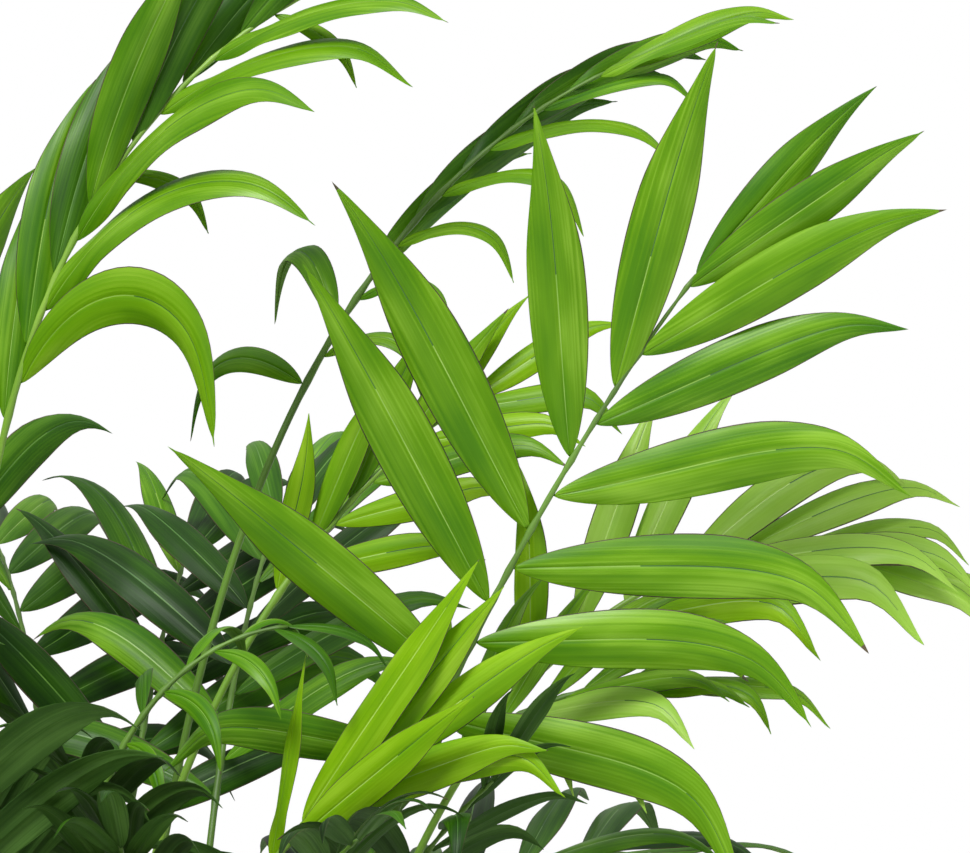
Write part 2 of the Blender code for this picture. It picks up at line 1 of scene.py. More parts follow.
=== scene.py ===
"""Looks of the parlour palm in its clay pot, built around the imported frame.

Metres, +Z up. The origin is the centre of the pot's flat underside, +X is the side that the tall open
frond leans to, and -Y is the front.

The first half plans the plant by the same rule and from the same named values as its solids: canes on
a spiral, the line of every frond, and leaflets that are each kept clear of the rest. The second half
draws that plan fine: blades with a folded midrib, a dark margin and a dry tip, round stalks with a
swelling at each leaflet, clasping sheaths, ringed canes, pleated spears, a thrown clay pot and loose
potting mix.
"""

import math
from collections import Counter, namedtuple

import bpy
import numpy as np
from mathutils.bvhtree import BVHTree
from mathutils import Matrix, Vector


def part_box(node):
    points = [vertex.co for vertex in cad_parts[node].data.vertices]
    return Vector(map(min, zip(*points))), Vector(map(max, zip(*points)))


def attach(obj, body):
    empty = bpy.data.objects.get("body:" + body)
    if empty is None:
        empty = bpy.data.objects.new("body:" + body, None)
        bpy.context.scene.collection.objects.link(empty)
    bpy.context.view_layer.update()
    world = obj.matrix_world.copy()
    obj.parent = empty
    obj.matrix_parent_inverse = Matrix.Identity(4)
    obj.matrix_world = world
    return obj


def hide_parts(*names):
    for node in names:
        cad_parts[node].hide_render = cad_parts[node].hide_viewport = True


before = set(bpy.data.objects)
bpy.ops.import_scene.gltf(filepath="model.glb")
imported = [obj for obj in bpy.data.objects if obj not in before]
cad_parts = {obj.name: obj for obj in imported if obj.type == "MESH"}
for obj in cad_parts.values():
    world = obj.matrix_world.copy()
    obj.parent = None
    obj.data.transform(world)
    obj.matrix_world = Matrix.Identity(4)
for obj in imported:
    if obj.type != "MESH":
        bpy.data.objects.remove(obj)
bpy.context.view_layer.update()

Cane = namedtuple("Cane", "name foot axis height azimuth lean spear")
Row = namedtuple("Row", "angles lengths sags tilts power lift")
Rows = namedtuple("Rows", "right left tip")
EvenRows = namedtuple("EvenRows", "pairs longest right left sag power tilt lift")
Frond = namedtuple("Frond", "name cane up azimuth rise nod bend petiole blade turn cuts rows")
Tier = namedtuple("Tier", "name count pairs first last rise nod petiole blade leaf spread sag")
Path = namedtuple("Path", "distance points along side normal half")
Leaflet = namedtuple("Leaflet", "side cuts line along across normal width thickness")
Skin = namedtuple("Skin", "points uvs quads tris")

MM = 0.001
SEED = 11
CLEAR = 0.3 * MM


def mm(*lengths):
    """Lengths in millimetres, in metres."""
    return tuple(length * MM for length in lengths)


# Pot and soil
POT_HEIGHT = 150 * MM
POT_MOUTH_RADIUS = 84 * MM
POT_COLLAR_HEIGHT = 30 * MM
POT_COLLAR_STEP = 4 * MM
POT_FOOT_RADIUS = 58 * MM
POT_WALL = 6 * MM
POT_FLOOR = 9 * MM
POT_CHAMFER = 2 * MM
POT_RIM_ROUND = 1 * MM
POT_SIDES = 32
SOIL_BELOW_RIM = 16 * MM
SOIL_SIDE_CLEAR = 0.45 * MM
SOIL_TOP = POT_HEIGHT - SOIL_BELOW_RIM

# Canes: a spiral of seedlings, the outer ones leaning out most
CANE_COUNT = 10
CANE_RING_RADIUS = 46 * MM
CANE_FOOT_RADIUS = 7.5 * MM
CANE_RADIUS = 5.2 * MM
CANE_NECK_RADIUS = 3.8 * MM
CANE_FLARE_HEIGHT = 5 * MM
CANE_SIDES = 9
CANE_HEIGHT_INNER = 104 * MM
CANE_HEIGHT_OUTER = 66 * MM
CANE_LEAN_INNER = 2
CANE_LEAN_OUTER = 9
CANE_RINGS = (0, 0.04, 0.1, 0.25, 0.6, 1)
SPEAR_INNER = 119 * MM
SPEAR_OUTER = 71 * MM
SPEAR_TIP_RADIUS = 0.5 * MM
SPEAR_TAPER = 1.4
SPEAR_RINGS = (0.35, 0.75, 1)
GOLDEN_ANGLE = 137.50776

# Petiole and rachis: half the width of a four-cornered bar that thins towards its tip
PETIOLE_FOOT_HALF = 2.1 * MM
PETIOLE_HALF = 1.25 * MM
RACHIS_TIP_HALF = 0.5 * MM
PETIOLE_RINGS = 5
PATH_POINTS = 81
RACHIS_END_SPARE = 3 * MM

# Leaflets: shares of their own length, and degrees
LEAFLET_FOOT = 3.2 * MM
WIDTH_SHARE = 0.17
WIDTH_RISE = 0.75
WIDTH_FALL = 0.9
THICKNESS_SHARE = 0.013
TIP_THINNING = 0.5
FOLD = 12
TILT_WITHIN = 0.25
LINE_POINTS = 21
LEAFLET_CUTS = (4, 12)
FINE_CUTS = (3, 9, 15)

# An even pair of rows: where the longest leaflet sits, how short the last is, and the ranges of chance
LONGEST_AT = 0.38
SHORTEST_SHARE = 0.72
LENGTH_FALL = 1.6
TIP_LENGTH_SHARE = 0.8
TIP_SAG_SHARE = 0.6
SAG_POWER = 2.8
LEAFLET_LIFT = 12
ANGLE_CHANCE = 8
LENGTH_CHANCE = (0.88, 1.06)
SAG_CHANCE = (0.6, 1.4)
TIP_ANGLES = (3, 10)
TIP_LIFT = 2

# The fronds that the view from the front shows one by one. A row lists its leaflets from the base to
# the tip: angles from the rachis, lengths, how far each sags and how far its face is tilted.
OPEN_ROWS = Rows(
    Row((80, 63, 60, 50, 35, 27, 18), mm(114, 117, 123, 119, 109, 114, 95),
        (60, 60, 58, 30, 20, 12, 6), (0,) * 7, 3.6, 8),
    Row((108, 74, 55, 57, 37, 17, 0), mm(84, 121, 128, 132, 117, 119, 0),
        (20, 12, 8, 14, 6, 4, 0), (0,) * 7, 3.6, 8),
    Row((4,), mm(86), (18,), (0,), 3.6, 3),
)
ARCHING_ROWS = Rows(
    Row((16, 15, 11, 54, 18, 17, 50, 15), mm(108, 122, 120, 40, 96, 92, 38, 76),
        (185, 104, 80, 75, 60, 46, 60, 30), (-10, -50, -50, -20, -50, -50, -20, -50), 1.2, 4),
    Row((12, 13, 13, 12, 12, 11, 10, 8), mm(88, 98, 102, 102, 100, 96, 90, 80),
        (82, 74, 66, 56, 48, 40, 34, 28), (20,) * 8, 1.4, 4),
    Row((5,), mm(84), (30,), (0,), 2.4, 2),
)
SWEPT_ROWS = Rows(
    Row((34, 32, 30, 28, 22, 18, 14), mm(46, 42, 50, 58, 72, 56, 70),
        (150, 140, 120, 100, 80, 40, 20), (-40,) * 7, 1.8, 6),
    Row((84, 52, 0, 0, 1, 2, 2), mm(64, 66, 72, 86, 84, 76, 66),
        (170, 230, 44, 44, 42, 36, 30), (18, 18, 50, 50, 50, 50, 40), 2, -4),
    Row((3,), mm(66), (20,), (0,), 2.4, 2),
)
YOUNG_ROWS = Rows(
    Row((14, 24, 30), mm(88, 84, 74), (12, 16, 20), (0,) * 3, 3, 6),
    Row((26, 8, 10), mm(68, 106, 88), (4, 10, 10), (-40, -20, 0), 3, 6),
    Row((0,), mm(86), (4,), (0,), 3, 2),
)
PICKED = (
    Frond("frond_open_right", 5, 0.9, 0, 72.5, 53, 1.6, 178 * MM, 184 * MM, 90, FINE_CUTS, OPEN_ROWS),
    Frond("frond_tall_left", 9, 0.9, 2, 93, 20, 2.76, 285 * MM, 200 * MM, 72, FINE_CUTS, ARCHING_ROWS),
    Frond("frond_tall_middle", 6, 0.9, 2, 82, 25, 2.63, 300 * MM, 155 * MM, 62, FINE_CUTS, SWEPT_ROWS),
    Frond("frond_back_right", 8, 0.85, 6, 74, -8, 2.6, 220 * MM, 118 * MM, 55, LEAFLET_CUTS,
          EvenRows(6, 94 * MM, (14, 50), (3, 40), (30, 60), SAG_POWER, (0, 0), LEAFLET_LIFT)),
    Frond("frond_low_right", 3, 0.85, -8, 72, -2, 2.3, 176 * MM, 90 * MM, 50, LEAFLET_CUTS,
          EvenRows(6, 72 * MM, (16, 44), (14, 44), (45, 45), SAG_POWER, (0, 0), LEAFLET_LIFT)),
    Frond("frond_young_front", 2, 0.9, -12, 76, 34, 2.2, 134 * MM, 46 * MM, 78, LEAFLET_CUTS, YOUNG_ROWS),
    Frond("frond_low_front", 7, 0.9, 0, 89, 4, 3.4, 168 * MM, 80 * MM, 30, LEAFLET_CUTS,
          EvenRows(4, 46 * MM, (34, 80), (34, 80), (110, 110), 1.6, (0, 0), 0)),
    Frond("frond_behind", 1, 0.95, 8, 80, 34, 1.8, 214 * MM, 94 * MM, 70, LEAFLET_CUTS,
          EvenRows(5, 76 * MM, (30, 46), (12, 20), (20, 10), SAG_POWER, (0, 0), LEAFLET_LIFT)),
)
PICKED_NAMES = {frond.name for frond in PICKED}

# The rest of the crown, tier by tier from the top down, each spread over an arc of azimuths
TIERS = (
    Tier("top", 3, 6, 148, 206, 88, 34, 268 * MM, 190 * MM, 112 * MM, (20, 48), 45),
    Tier("tall", 6, 6, 128, 212, 84, 44, 215 * MM, 180 * MM, 110 * MM, (20, 50), 45),
    Tier("inner", 10, 5, 165, 315, 80, 30, 104 * MM, 96 * MM, 66 * MM, (24, 66), 80),
    Tier("middle", 9, 6, 78, 238, 78, 18, 145 * MM, 155 * MM, 104 * MM, (24, 62), 60),
    Tier("skirt", 12, 6, -150, 180, 60, -18, 96 * MM, 145 * MM, 98 * MM, (24, 66), 60),
)
TIER_BEND = 1.5
LOAD_TURN = 45
AZIMUTH_CHANCE = 8
UP_RANGE = (0.6, 0.95)
RISE_CHANCE = 4
NOD_CHANCE = 10
PETIOLE_CHANCE = (0.88, 1.12)
BLADE_CHANCE = (0.92, 1.08)
TURN_CHANCE = 25

# What keeps the pieces apart
CANE_FREE_ANGLE = 5
BAR_ROOM = 0.6 * MM
LEAF_ROOM = 0.9 * MM
SIBLING_ROOM = 0.35 * MM
ROOT_STEPS = 4
FOOT_DROPS = (0, 0.15, 0.3)
AZIMUTH_TURNS = (0, 5, -5, 10, -10, 16, -16, 23, -23, 31, -31)
LEAFLET_TURNS = (0, 8, -8, 16, -16, 25, -25, 35, -35)

UP = np.array((0, 0, 1.0))


def unit(vectors):
    """Each vector divided by its length."""
    return vectors / np.linalg.norm(vectors, axis=-1, keepdims=True)


def heading(azimuth, elevation):
    """Unit vectors at an azimuth from +X towards +Y and an elevation above the ground, in degrees."""
    a, e = np.broadcast_arrays(np.radians(azimuth), np.radians(elevation))
    return np.stack([np.cos(e) * np.cos(a), np.cos(e) * np.sin(a), np.sin(e)], axis=-1)


def between(first, last, share):
    """The value at a share of the way from the first to the last."""
    return first + (last - first) * share


def even_turns(sides):
    """Angles at even steps of a full turn, in radians."""
    return np.arange(sides) * 2 * math.pi / sides


def circle(sides):
    """The corners of a level ring of radius 1."""
    turn = even_turns(sides)
    return np.stack([np.cos(turn), np.sin(turn), np.zeros(sides)], axis=-1)


def smooth_step(x):
    """A blend from 0 to 1 with level ends."""
    x = np.clip(x, 0, 1)
    return x * x * (3 - 2 * x)


def run_along(start, directions, length):
    """The line from a start point whose direction at even steps is given: the sum of those steps."""
    steps = (directions[1:] + directions[:-1]) / 2 * length / (len(directions) - 1)
    return start + np.vstack([np.zeros(3), np.cumsum(steps, axis=0)])


def cane_plan(number):
    """A cane on a spiral: the radius grows as the root of its number, at a golden angle each time."""
    share = math.sqrt((number + 0.5) / CANE_COUNT)
    azimuth = (number * GOLDEN_ANGLE) % 360
    lean = between(CANE_LEAN_INNER, CANE_LEAN_OUTER, share)
    height = between(CANE_HEIGHT_INNER, CANE_HEIGHT_OUTER, share)
    foot = CANE_RING_RADIUS * share * heading(azimuth, 0) + (SOIL_TOP + CLEAR) * UP
    spear = between(SPEAR_INNER, SPEAR_OUTER, share)
    return Cane(f"cane_{number + 1}", foot, heading(azimuth, 90 - lean), height, azimuth, lean, spear)


def cane_radius(share):
    """The radius at a share of the cane's height: a root flare that fades, on an even taper to the neck."""
    flare = (CANE_FOOT_RADIUS - CANE_RADIUS) * np.exp(-share * CANE_HEIGHT_INNER / CANE_FLARE_HEIGHT)
    return between(CANE_RADIUS, CANE_NECK_RADIUS, share) + flare


def cane_rings(cane):
    """Level rings up the leaning axis, first along the cane and then along the spear to its point."""
    up = np.array(CANE_RINGS)
    spear = np.array(SPEAR_RINGS)
    heights = np.concatenate([up * cane.height, cane.height + spear * cane.spear])
    spear_radii = between(CANE_NECK_RADIUS, SPEAR_TIP_RADIUS, spear**SPEAR_TAPER)
    radii = np.concatenate([cane_radius(up), spear_radii])
    return cane.foot + heights[:, None, None] * cane.axis + radii[:, None, None] * circle(CANE_SIDES)


def frond_path(frond, cane, azimuth):
    """The frond's line from the petiole's foot to the rachis tip.

    The elevation goes from rise to nod with a power of the share of the length, and the line is its
    sum. The foot lies beside the cane, clear of it. The bar turns about its own line along the petiole.
    """
    lean_that_way = cane.lean * math.cos(math.radians(azimuth - cane.azimuth))
    rise = min(frond.rise, 90 - lean_that_way - CANE_FREE_ANGLE)
    share = np.linspace(0, 1, PATH_POINTS)
    elevation = between(rise, frond.nod, share**frond.bend)
    along = heading(azimuth, elevation)
    normal = heading(azimuth, elevation + 90)
    side = np.cross(along, normal)

    out = heading(azimuth, 0)
    way = unit(out - (out @ cane.axis) * cane.axis)
    reach = cane_radius(frond.up) + CLEAR + PETIOLE_FOOT_HALF
    foot = cane.foot + cane.axis * cane.height * frond.up + way * reach
    length = frond.petiole + frond.blade
    distance = share * length

    turn = np.radians(frond.turn * smooth_step(distance / frond.petiole))[:, None]
    rolled_normal = np.cos(turn) * normal + np.sin(turn) * side
    rolled_side = np.cos(turn) * side - np.sin(turn) * normal
    half = np.where(
        distance < frond.petiole,
        between(PETIOLE_FOOT_HALF, PETIOLE_HALF, np.sqrt(distance / frond.petiole)),
        between(PETIOLE_HALF, RACHIS_TIP_HALF, (distance - frond.petiole) / frond.blade),
    )
    return Path(distance, run_along(foot, along, length), along, rolled_side, rolled_normal, half)


def read_rows(values, places, wanted):
    """Rows of values that stand at the given places, read between them by straight lines."""
    return np.stack([np.interp(wanted, places, column) for column in values.T], axis=-1)


def at(path, field, distance):
    """A field of the path, read between its points at the given distances."""
    values = getattr(path, field)
    if values.ndim == 1:
        return np.interp(distance, path.distance, values)
    return read_rows(values, path.distance, distance)


def row_of(frond, side):
    """The row of leaflets on a side: 1 is the right one, -1 the left one and 0 the leaflet at the tip."""
    return {1: frond.rows.right, -1: frond.rows.left, 0: frond.rows.tip}[side]


def leaflet_feet(frond, side):
    """Where the leaflets of a side start along the frond. The right ones stand half a step further on."""
    pairs = len(frond.rows.right.angles)
    step = (frond.blade - RACHIS_END_SPARE - LEAFLET_FOOT) / (pairs - 0.5)
    first = frond.petiole + (step / 2 if side > 0 else 0)
    return first + step * np.arange(pairs)


def bar_rings(frond, path, room=0):
    """Four corners for each ring of petiole and rachis: left up, left down, right down, right up.

    After the petiole's rings come two for the foot of each leaflet, and one at the rachis tip.
    """
    petiole = np.linspace(0, 1, PETIOLE_RINGS)[:-1] * frond.petiole
    corners = []
    for side, lift in ((-1, 1), (-1, -1), (1, -1), (1, 1)):
        feet = leaflet_feet(frond, side)
        pairs = np.stack([feet, feet + LEAFLET_FOOT], axis=-1).ravel()
        distance = np.concatenate([petiole, pairs, [frond.petiole + frond.blade]])
        half = at(path, "half", distance)[:, None] + room
        across = side * at(path, "side", distance) + lift * at(path, "normal", distance)
        corners.append(at(path, "points", distance) + half * across)
    return np.stack(corners, axis=1)


def leaflet_start(frond, path, side, pair, lift_turn):
    """Where a leaflet leaves the rachis, its first direction, its upper face, and the rachis there."""
    row = row_of(frond, side)
    middle = frond.petiole + frond.blade
    if side:
        middle = leaflet_feet(frond, side)[pair] + LEAFLET_FOOT / 2
    along, across, normal = (unit(at(path, field, middle)) for field in ("along", "side", "normal"))
    outward = side * across if side else across
    angle = math.radians(row.angles[pair])
    lift = math.radians(row.lift + lift_turn)
    flat = math.cos(angle) * along + math.sin(angle) * outward
    over = unit(normal - (normal @ flat) * flat)
    start = math.cos(lift) * flat + math.sin(lift) * over
    face = math.cos(lift) * over - math.sin(lift) * flat
    root = at(path, "points", middle) + abs(side) * outward * at(path, "half", middle)
    return root, start, face, along if side else across


def sagging_frame(start, face, sag, power, tilt):
    """Directions along and across a leaflet and out of its face, at even steps.

    The elevation e sinks from that of the start by the rule that the inverse hyperbolic tangent of
    sin e falls by the sag times a power of the share t, which is the path of something that turns
    towards the ground. The face keeps its roll about the line, and a tilt is added near the foot.
    """
    t = np.linspace(0, 1, LINE_POINTS)
    level = unit(np.array((start[0], start[1], 1e-9)))
    nearly_upright = 0.9999
    rise = math.atanh(min(max(start[2], -nearly_upright), nearly_upright))
    sine = np.tanh(rise - math.radians(sag) * t**power)[:, None]
    cosine = np.sqrt(1 - sine**2)
    along = cosine * level + sine * UP
    over = cosine * UP - sine * level
    beside = np.cross(level, UP)
    tilted = math.radians(tilt) * smooth_step(t / TILT_WITHIN)[:, None]
    roll = math.atan2(face @ beside, face @ over[0]) + tilted
    normal = np.cos(roll) * over + np.sin(roll) * beside
    return along, np.cross(normal, along), normal


def leaf_width(share):
    """The width at a share of the length, with 1 as the widest: t to one power times 1 - t to another."""
    widest = WIDTH_RISE / (WIDTH_RISE + WIDTH_FALL)
    peak = widest**WIDTH_RISE * (1 - widest) ** WIDTH_FALL
    return share**WIDTH_RISE * (1 - share) ** WIDTH_FALL / peak


def leaflet_plan(frond, path, side, pair, lift_turn=0):
    """One leaflet's midline with its frame, width and thickness."""
    row = row_of(frond, side)
    length = row.lengths[pair]
    root, start, face, towards_tip = leaflet_start(frond, path, side, pair, lift_turn)
    along, across, normal = sagging_frame(start, face, row.sags[pair], row.power, row.tilts[pair])
    across *= np.sign(across[0] @ towards_tip) or 1
    t = np.linspace(0, 1, LINE_POINTS)
    width = WIDTH_SHARE * length * leaf_width(t)
    thickness = THICKNESS_SHARE * length * (1 - TIP_THINNING * t)
    line = run_along(root, along, length)
    return Leaflet(side, frond.cuts, line, along, across, normal, width, thickness)


def leaflet_sections(leaflet, picks, room=0):
    """Four corners at each picked point: near edge, underside, far edge and ridge of a low roof shape."""
    picks = list(picks)
    line, across, normal = leaflet.line[picks], leaflet.across[picks], leaflet.normal[picks]
    half = leaflet.width[picks, None] / 2 + room
    thick = leaflet.thickness[picks, None] / 2 + room
    drop = half * math.sin(math.radians(FOLD)) * normal
    reach = half * math.cos(math.radians(FOLD)) * across
    ridge = thick * normal
    return np.stack([line - reach - drop, line - ridge, line + reach - drop, line + ridge], axis=1)


def split_walls(low, high):
    """Two triangles for each wall between two rings of corners.

    Each wall is split from its odd corner below to its even corner above. In a leaflet that is from
    the midrib to the margin on both faces, so a twist never brings one face through the other.
    """
    faces = []
    for corner in range(len(low)):
        after = (corner + 1) % len(low)
        odd, even = (after, corner) if corner % 2 == 0 else (corner, after)
        faces += [(low[corner], low[after], high[even]), (low[odd], high[after], high[corner])]
    return faces


def tree_of(rings, tip=None):
    """A search tree over the walls between rings of corners, with the last ring closed to a tip."""
    count, sides = rings.shape[:2]
    numbers = np.arange(count * sides).reshape(count, sides).tolist()
    walls = [face for low, high in zip(numbers, numbers[1:]) for face in split_walls(low, high)]
    points = rings.reshape(-1, 3)
    if tip is not None:
        points = np.vstack([points, tip])
        last = numbers[-1]
        walls += [(corner, last[(i + 1) % sides], count * sides) for i, corner in enumerate(last)]
    return BVHTree.FromPolygons(points.tolist(), walls), points.min(axis=0), points.max(axis=0)


class Space:
    """The pieces that stand so far, which a new one has to keep clear of."""

    def __init__(self):
        self.owners = []
        self.trees = []
        self.boxes = np.empty((0, 2, 3))

    def add(self, owner, shape):
        """A shape, as tree_of gives it, that belongs to an owner by name."""
        tree, low, high = shape
        self.owners.append(owner)
        self.trees.append(tree)
        self.boxes = np.concatenate([self.boxes, [[low, high]]])

    def is_free(self, shape, own=None, others=True):
        """Whether a shape crosses no piece: of one owner only, or of all the others."""
        tree, low, high = shape
        near = (self.boxes[:, 1] > low).all(axis=1) & (self.boxes[:, 0] < high).all(axis=1)
        for number in np.flatnonzero(near):
            if (self.owners[number] != own) == others and tree.overlap(self.trees[number]):
                return False
        return True


def place_path(space, frond, canes):
    """The frond's line at the first foot and azimuth whose bar is clear of what stands there."""
    for drop in FOOT_DROPS:
        lower = frond._replace(up=frond.up - drop)
        for turn in AZIMUTH_TURNS:
            path = frond_path(lower, canes[frond.cane], frond.azimuth + turn)
            bar = bar_rings(frond, path)
            wider_bar = bar_rings(frond, path, BAR_ROOM)
            if space.is_free(tree_of(bar[:2])) and space.is_free(tree_of(wider_bar[1:])):
                space.add(frond.name, tree_of(bar))
                return path
    return None


def leaflet_trees(leaflet, first, room):
    """The smooth leaflet from a step of its line on, and the solid that stands for it with few sections."""
    solid = leaflet.cuts if first >= ROOT_STEPS else (0, *leaflet.cuts)
    shapes = (range(first, LINE_POINTS - 1), solid)
    return [tree_of(leaflet_sections(leaflet, picks, room), leaflet.line[-1]) for picks in shapes]


def place_leaflet(space, frond, path, side, pair):
    """The leaflet at the first lift that keeps it clear of all that stands there, or None."""
    for turn in LEAFLET_TURNS:
        leaflet = leaflet_plan(frond, path, side, pair, turn)
        wide = leaflet_trees(leaflet, 1, LEAF_ROOM)
        outer = leaflet_trees(leaflet, ROOT_STEPS, SIBLING_ROOM)
        if (all(space.is_free(shape, frond.name) for shape in wide)
                and all(space.is_free(shape, frond.name, False) for shape in outer)):
            for shape in leaflet_trees(leaflet, 1, 0):
                space.add(frond.name, shape)
            return leaflet
    return None


def leaf_order(frond):
    """Every leaflet of the frond: the tip's, then pairs from the tip down. A length of 0 is none."""
    places = [(0, 0)]
    for pair in reversed(range(len(frond.rows.right.angles))):
        places += [(side, pair) for side in (1, -1) if row_of(frond, side).lengths[pair] > 0]
    return places


def even_rows(rng, plan):
    """Two rows of leaflets and the one at the tip.

    The angles open evenly from the tip to the base, and the lengths peak a little below the middle.
    The plan's right and left are each row's angles at the tip and at the base, and its sag and tilt
    are those of the right row and of the left.
    """
    place = np.arange(plan.pairs) / (plan.pairs - 1)
    off_peak = np.abs(place - LONGEST_AT) / (1 - LONGEST_AT)
    shape = 1 - (1 - SHORTEST_SHARE) * off_peak**LENGTH_FALL
    rows = []
    for spread, sag, tilt in zip((plan.right, plan.left), plan.sag, plan.tilt):
        angles = between(spread[1], spread[0], place) + rng.uniform(-ANGLE_CHANCE, ANGLE_CHANCE, plan.pairs)
        lengths = plan.longest * shape * rng.uniform(*LENGTH_CHANCE, plan.pairs)
        sags = sag * rng.uniform(*SAG_CHANCE, plan.pairs)
        tilts = (tilt,) * plan.pairs
        rows.append(Row(tuple(angles), tuple(lengths), tuple(sags), tilts, plan.power, plan.lift))
    tip_angle = rng.uniform(*TIP_ANGLES)
    tip_length = plan.longest * TIP_LENGTH_SHARE
    tip = Row((tip_angle,), (tip_length,), (plan.sag[0] * TIP_SAG_SHARE,), (0,), plan.power, TIP_LIFT)
    return Rows(*rows, tip)


def picked_fronds(rng):
    """The picked fronds, with the rows worked out where they are even."""
    return [
        frond._replace(rows=even_rows(rng, frond.rows)) if isinstance(frond.rows, EvenRows) else frond
        for frond in PICKED
    ]


def tier_fronds(tier, rng, canes, load):
    """A tier's fronds, spread evenly over its arc, each on a cane that faces its way and carries few."""
    leaves = EvenRows(tier.pairs, tier.leaf, tier.spread, tier.spread, (tier.sag, tier.sag), SAG_POWER,
                      (0, 0), LEAFLET_LIFT)
    fronds = []
    turned = np.array([cane.azimuth for cane in canes])
    for middle in np.linspace(tier.first, tier.last, tier.count):
        azimuth = middle + rng.uniform(-AZIMUTH_CHANCE, AZIMUTH_CHANCE)
        apart = np.abs((azimuth - turned + 180) % 360 - 180)
        cane = int(np.argmin(apart + LOAD_TURN * np.array(load)))
        load[cane] += 1
        fronds.append(Frond(
            f"frond_{tier.name}", cane, rng.uniform(*UP_RANGE), azimuth,
            tier.rise + rng.uniform(-RISE_CHANCE, RISE_CHANCE),
            tier.nod + rng.uniform(-NOD_CHANCE, NOD_CHANCE),
            TIER_BEND, tier.petiole * rng.uniform(*PETIOLE_CHANCE), tier.blade * rng.uniform(*BLADE_CHANCE),
            rng.uniform(-TURN_CHANCE, TURN_CHANCE), LEAFLET_CUTS, even_rows(rng, leaves)))
    return fronds


def numbered(frond, count):
    """The frond with its number in its tier put behind its name. A picked frond keeps its name."""
    if frond.name in PICKED_NAMES:
        return frond
    return frond._replace(name=f"{frond.name}_{count[frond.name] + 1}")


def frond_plans(canes):
    """Every frond with its line and leaflets, the picked ones first, each clear of those before it."""
    rng = np.random.default_rng(SEED)
    space = Space()
    for cane in canes:
        space.add(cane.name, tree_of(cane_rings(cane)))
    space.add("pot", tree_of(turned_rings(pot_outline())))
    fronds = picked_fronds(rng)
    load = [sum(frond.cane == number for frond in fronds) for number in range(len(canes))]
    for tier in TIERS:
        fronds += tier_fronds(tier, rng, canes, load)
    count = Counter()
    placed = []
    for frond in fronds:
        named = numbered(frond, count)
        path = place_path(space, named, canes)
        if path:
            count[frond.name] += 1
            placed.append((named, path))
    plans = []
    for frond, path in placed:
        leaflets = [place_leaflet(space, frond, path, side, pair) for side, pair in leaf_order(frond)]
        plans.append((frond, path, [leaflet for leaflet in leaflets if leaflet]))
    return plans


def pot_outline():
    """Radius and height up the outside of the pot, over its rim and down the inside to the floor."""
    collar = POT_HEIGHT - POT_COLLAR_HEIGHT
    return np.array((
        (POT_FOOT_RADIUS - POT_CHAMFER, 0),
        (POT_FOOT_RADIUS, POT_CHAMFER),
        (POT_MOUTH_RADIUS - POT_COLLAR_STEP - POT_CHAMFER, collar - POT_CHAMFER),
        (POT_MOUTH_RADIUS - POT_CHAMFER, collar),
        (POT_MOUTH_RADIUS, collar + POT_CHAMFER),
        (POT_MOUTH_RADIUS + POT_RIM_ROUND, POT_HEIGHT - POT_CHAMFER),
        (POT_MOUTH_RADIUS - POT_RIM_ROUND, POT_HEIGHT),
        (POT_MOUTH_RADIUS - POT_WALL + POT_RIM_ROUND, POT_HEIGHT),
        (POT_MOUTH_RADIUS - POT_WALL, POT_HEIGHT - POT_CHAMFER),
        (POT_FOOT_RADIUS - POT_WALL, POT_FLOOR),
    ))


def turned_rings(outline):
    """The outline's points, each turned into a ring about Z."""
    return outline[:, 0, None, None] * circle(POT_SIDES) + outline[:, 1, None, None] * UP


# How the blades are drawn: shares across half the width, and how many sections along. Angles are in
# degrees, and shares are of the blade's length or width.
FINE_HALF = (0.02, 0.06, 0.18, 0.34, 0.5, 0.67, 0.84, 0.965, 1)
PLAIN_HALF = (0.03, 0.16, 0.4, 0.7, 0.95, 1)
FINE_STATIONS = 36
PLAIN_STATIONS = 22
BLADE_SPAN = (0.012, 0.99)
BLADE_THICKNESS = 0.45 * MM
FOLD_ROUNDNESS = 1.2
GROOVE_DEPTH = 0.3 * MM
RIB_HEIGHT = 0.4 * MM
RIB_SHARE = 0.05
RIB_FADING = 3
BULGE = 0.06
WAVE_SHARE = 0.08
WAVES = (1.2, 2.4)
WAVE_CHANCE = (0.4, 1)
SIDE_BEND_SHARE = 0.03
TWIST = 9
TWIST_POWER = 1.5
WILD = 2.4

# How they lie: a blade that stands up is slim, and a level one is full and hooks down near its end
STRAIGHTENING = 1.6
DROOP_CHANCE = (0.3, 1)
LATE_POWER = 2.4
LIFT_SHARE = 0.045
HOOK_FROM = 0.7
HOOK_SHARE = 0.12
SLIM_FROM = 0.55
SLIM_SHARE = (0.45, 0.02)
FULLNESS = 0.2
THREAD_FROM = 0.95
THREAD_RATE = 1.6
THREAD_CHANCE = 0.9
THREAD_HALF = 0.2 * MM

# Where a blade's finishes change, and how its veins are laid on it
MIDRIB_END = (0.35, 0.9)
# The dark line of painted shade in the midrib's groove ends at this share of the length
PAINTED_GROOVE_SHADE_END = 0.93
DRY_TIP_FROM = (0.975, 1.04)
MARGIN_CHANCE = 0.8
VEIN_GATHERING = 0.75
UV_LENGTH = 100 * MM
UV_CHANCE = 40

# Stalks and sheaths
STALK_SIDES = 10
STALK_RINGS = 70
STALK_FLATNESS = 0.78
SWELLING = 0.45 * MM
SWELLING_LENGTH = 2.2 * MM
SHEATH_BELOW = 34 * MM
SHEATH_ABOVE = 12 * MM
SHEATH_LEAST_RISE = 6 * MM
SHEATH_RINGS = 16
SHEATH_COLUMNS = 14
SHEATH_THICKNESS = 0.5 * MM
SHEATH_WRAP = (168, 40)
SHEATH_NARROWING = 0.7
SHEATH_GROWTH = 1.15
SHEATH_LAYER = 0.35 * MM
SHEATH_RIBS = 14
SHEATH_RIB_DEPTH = 0.12 * MM

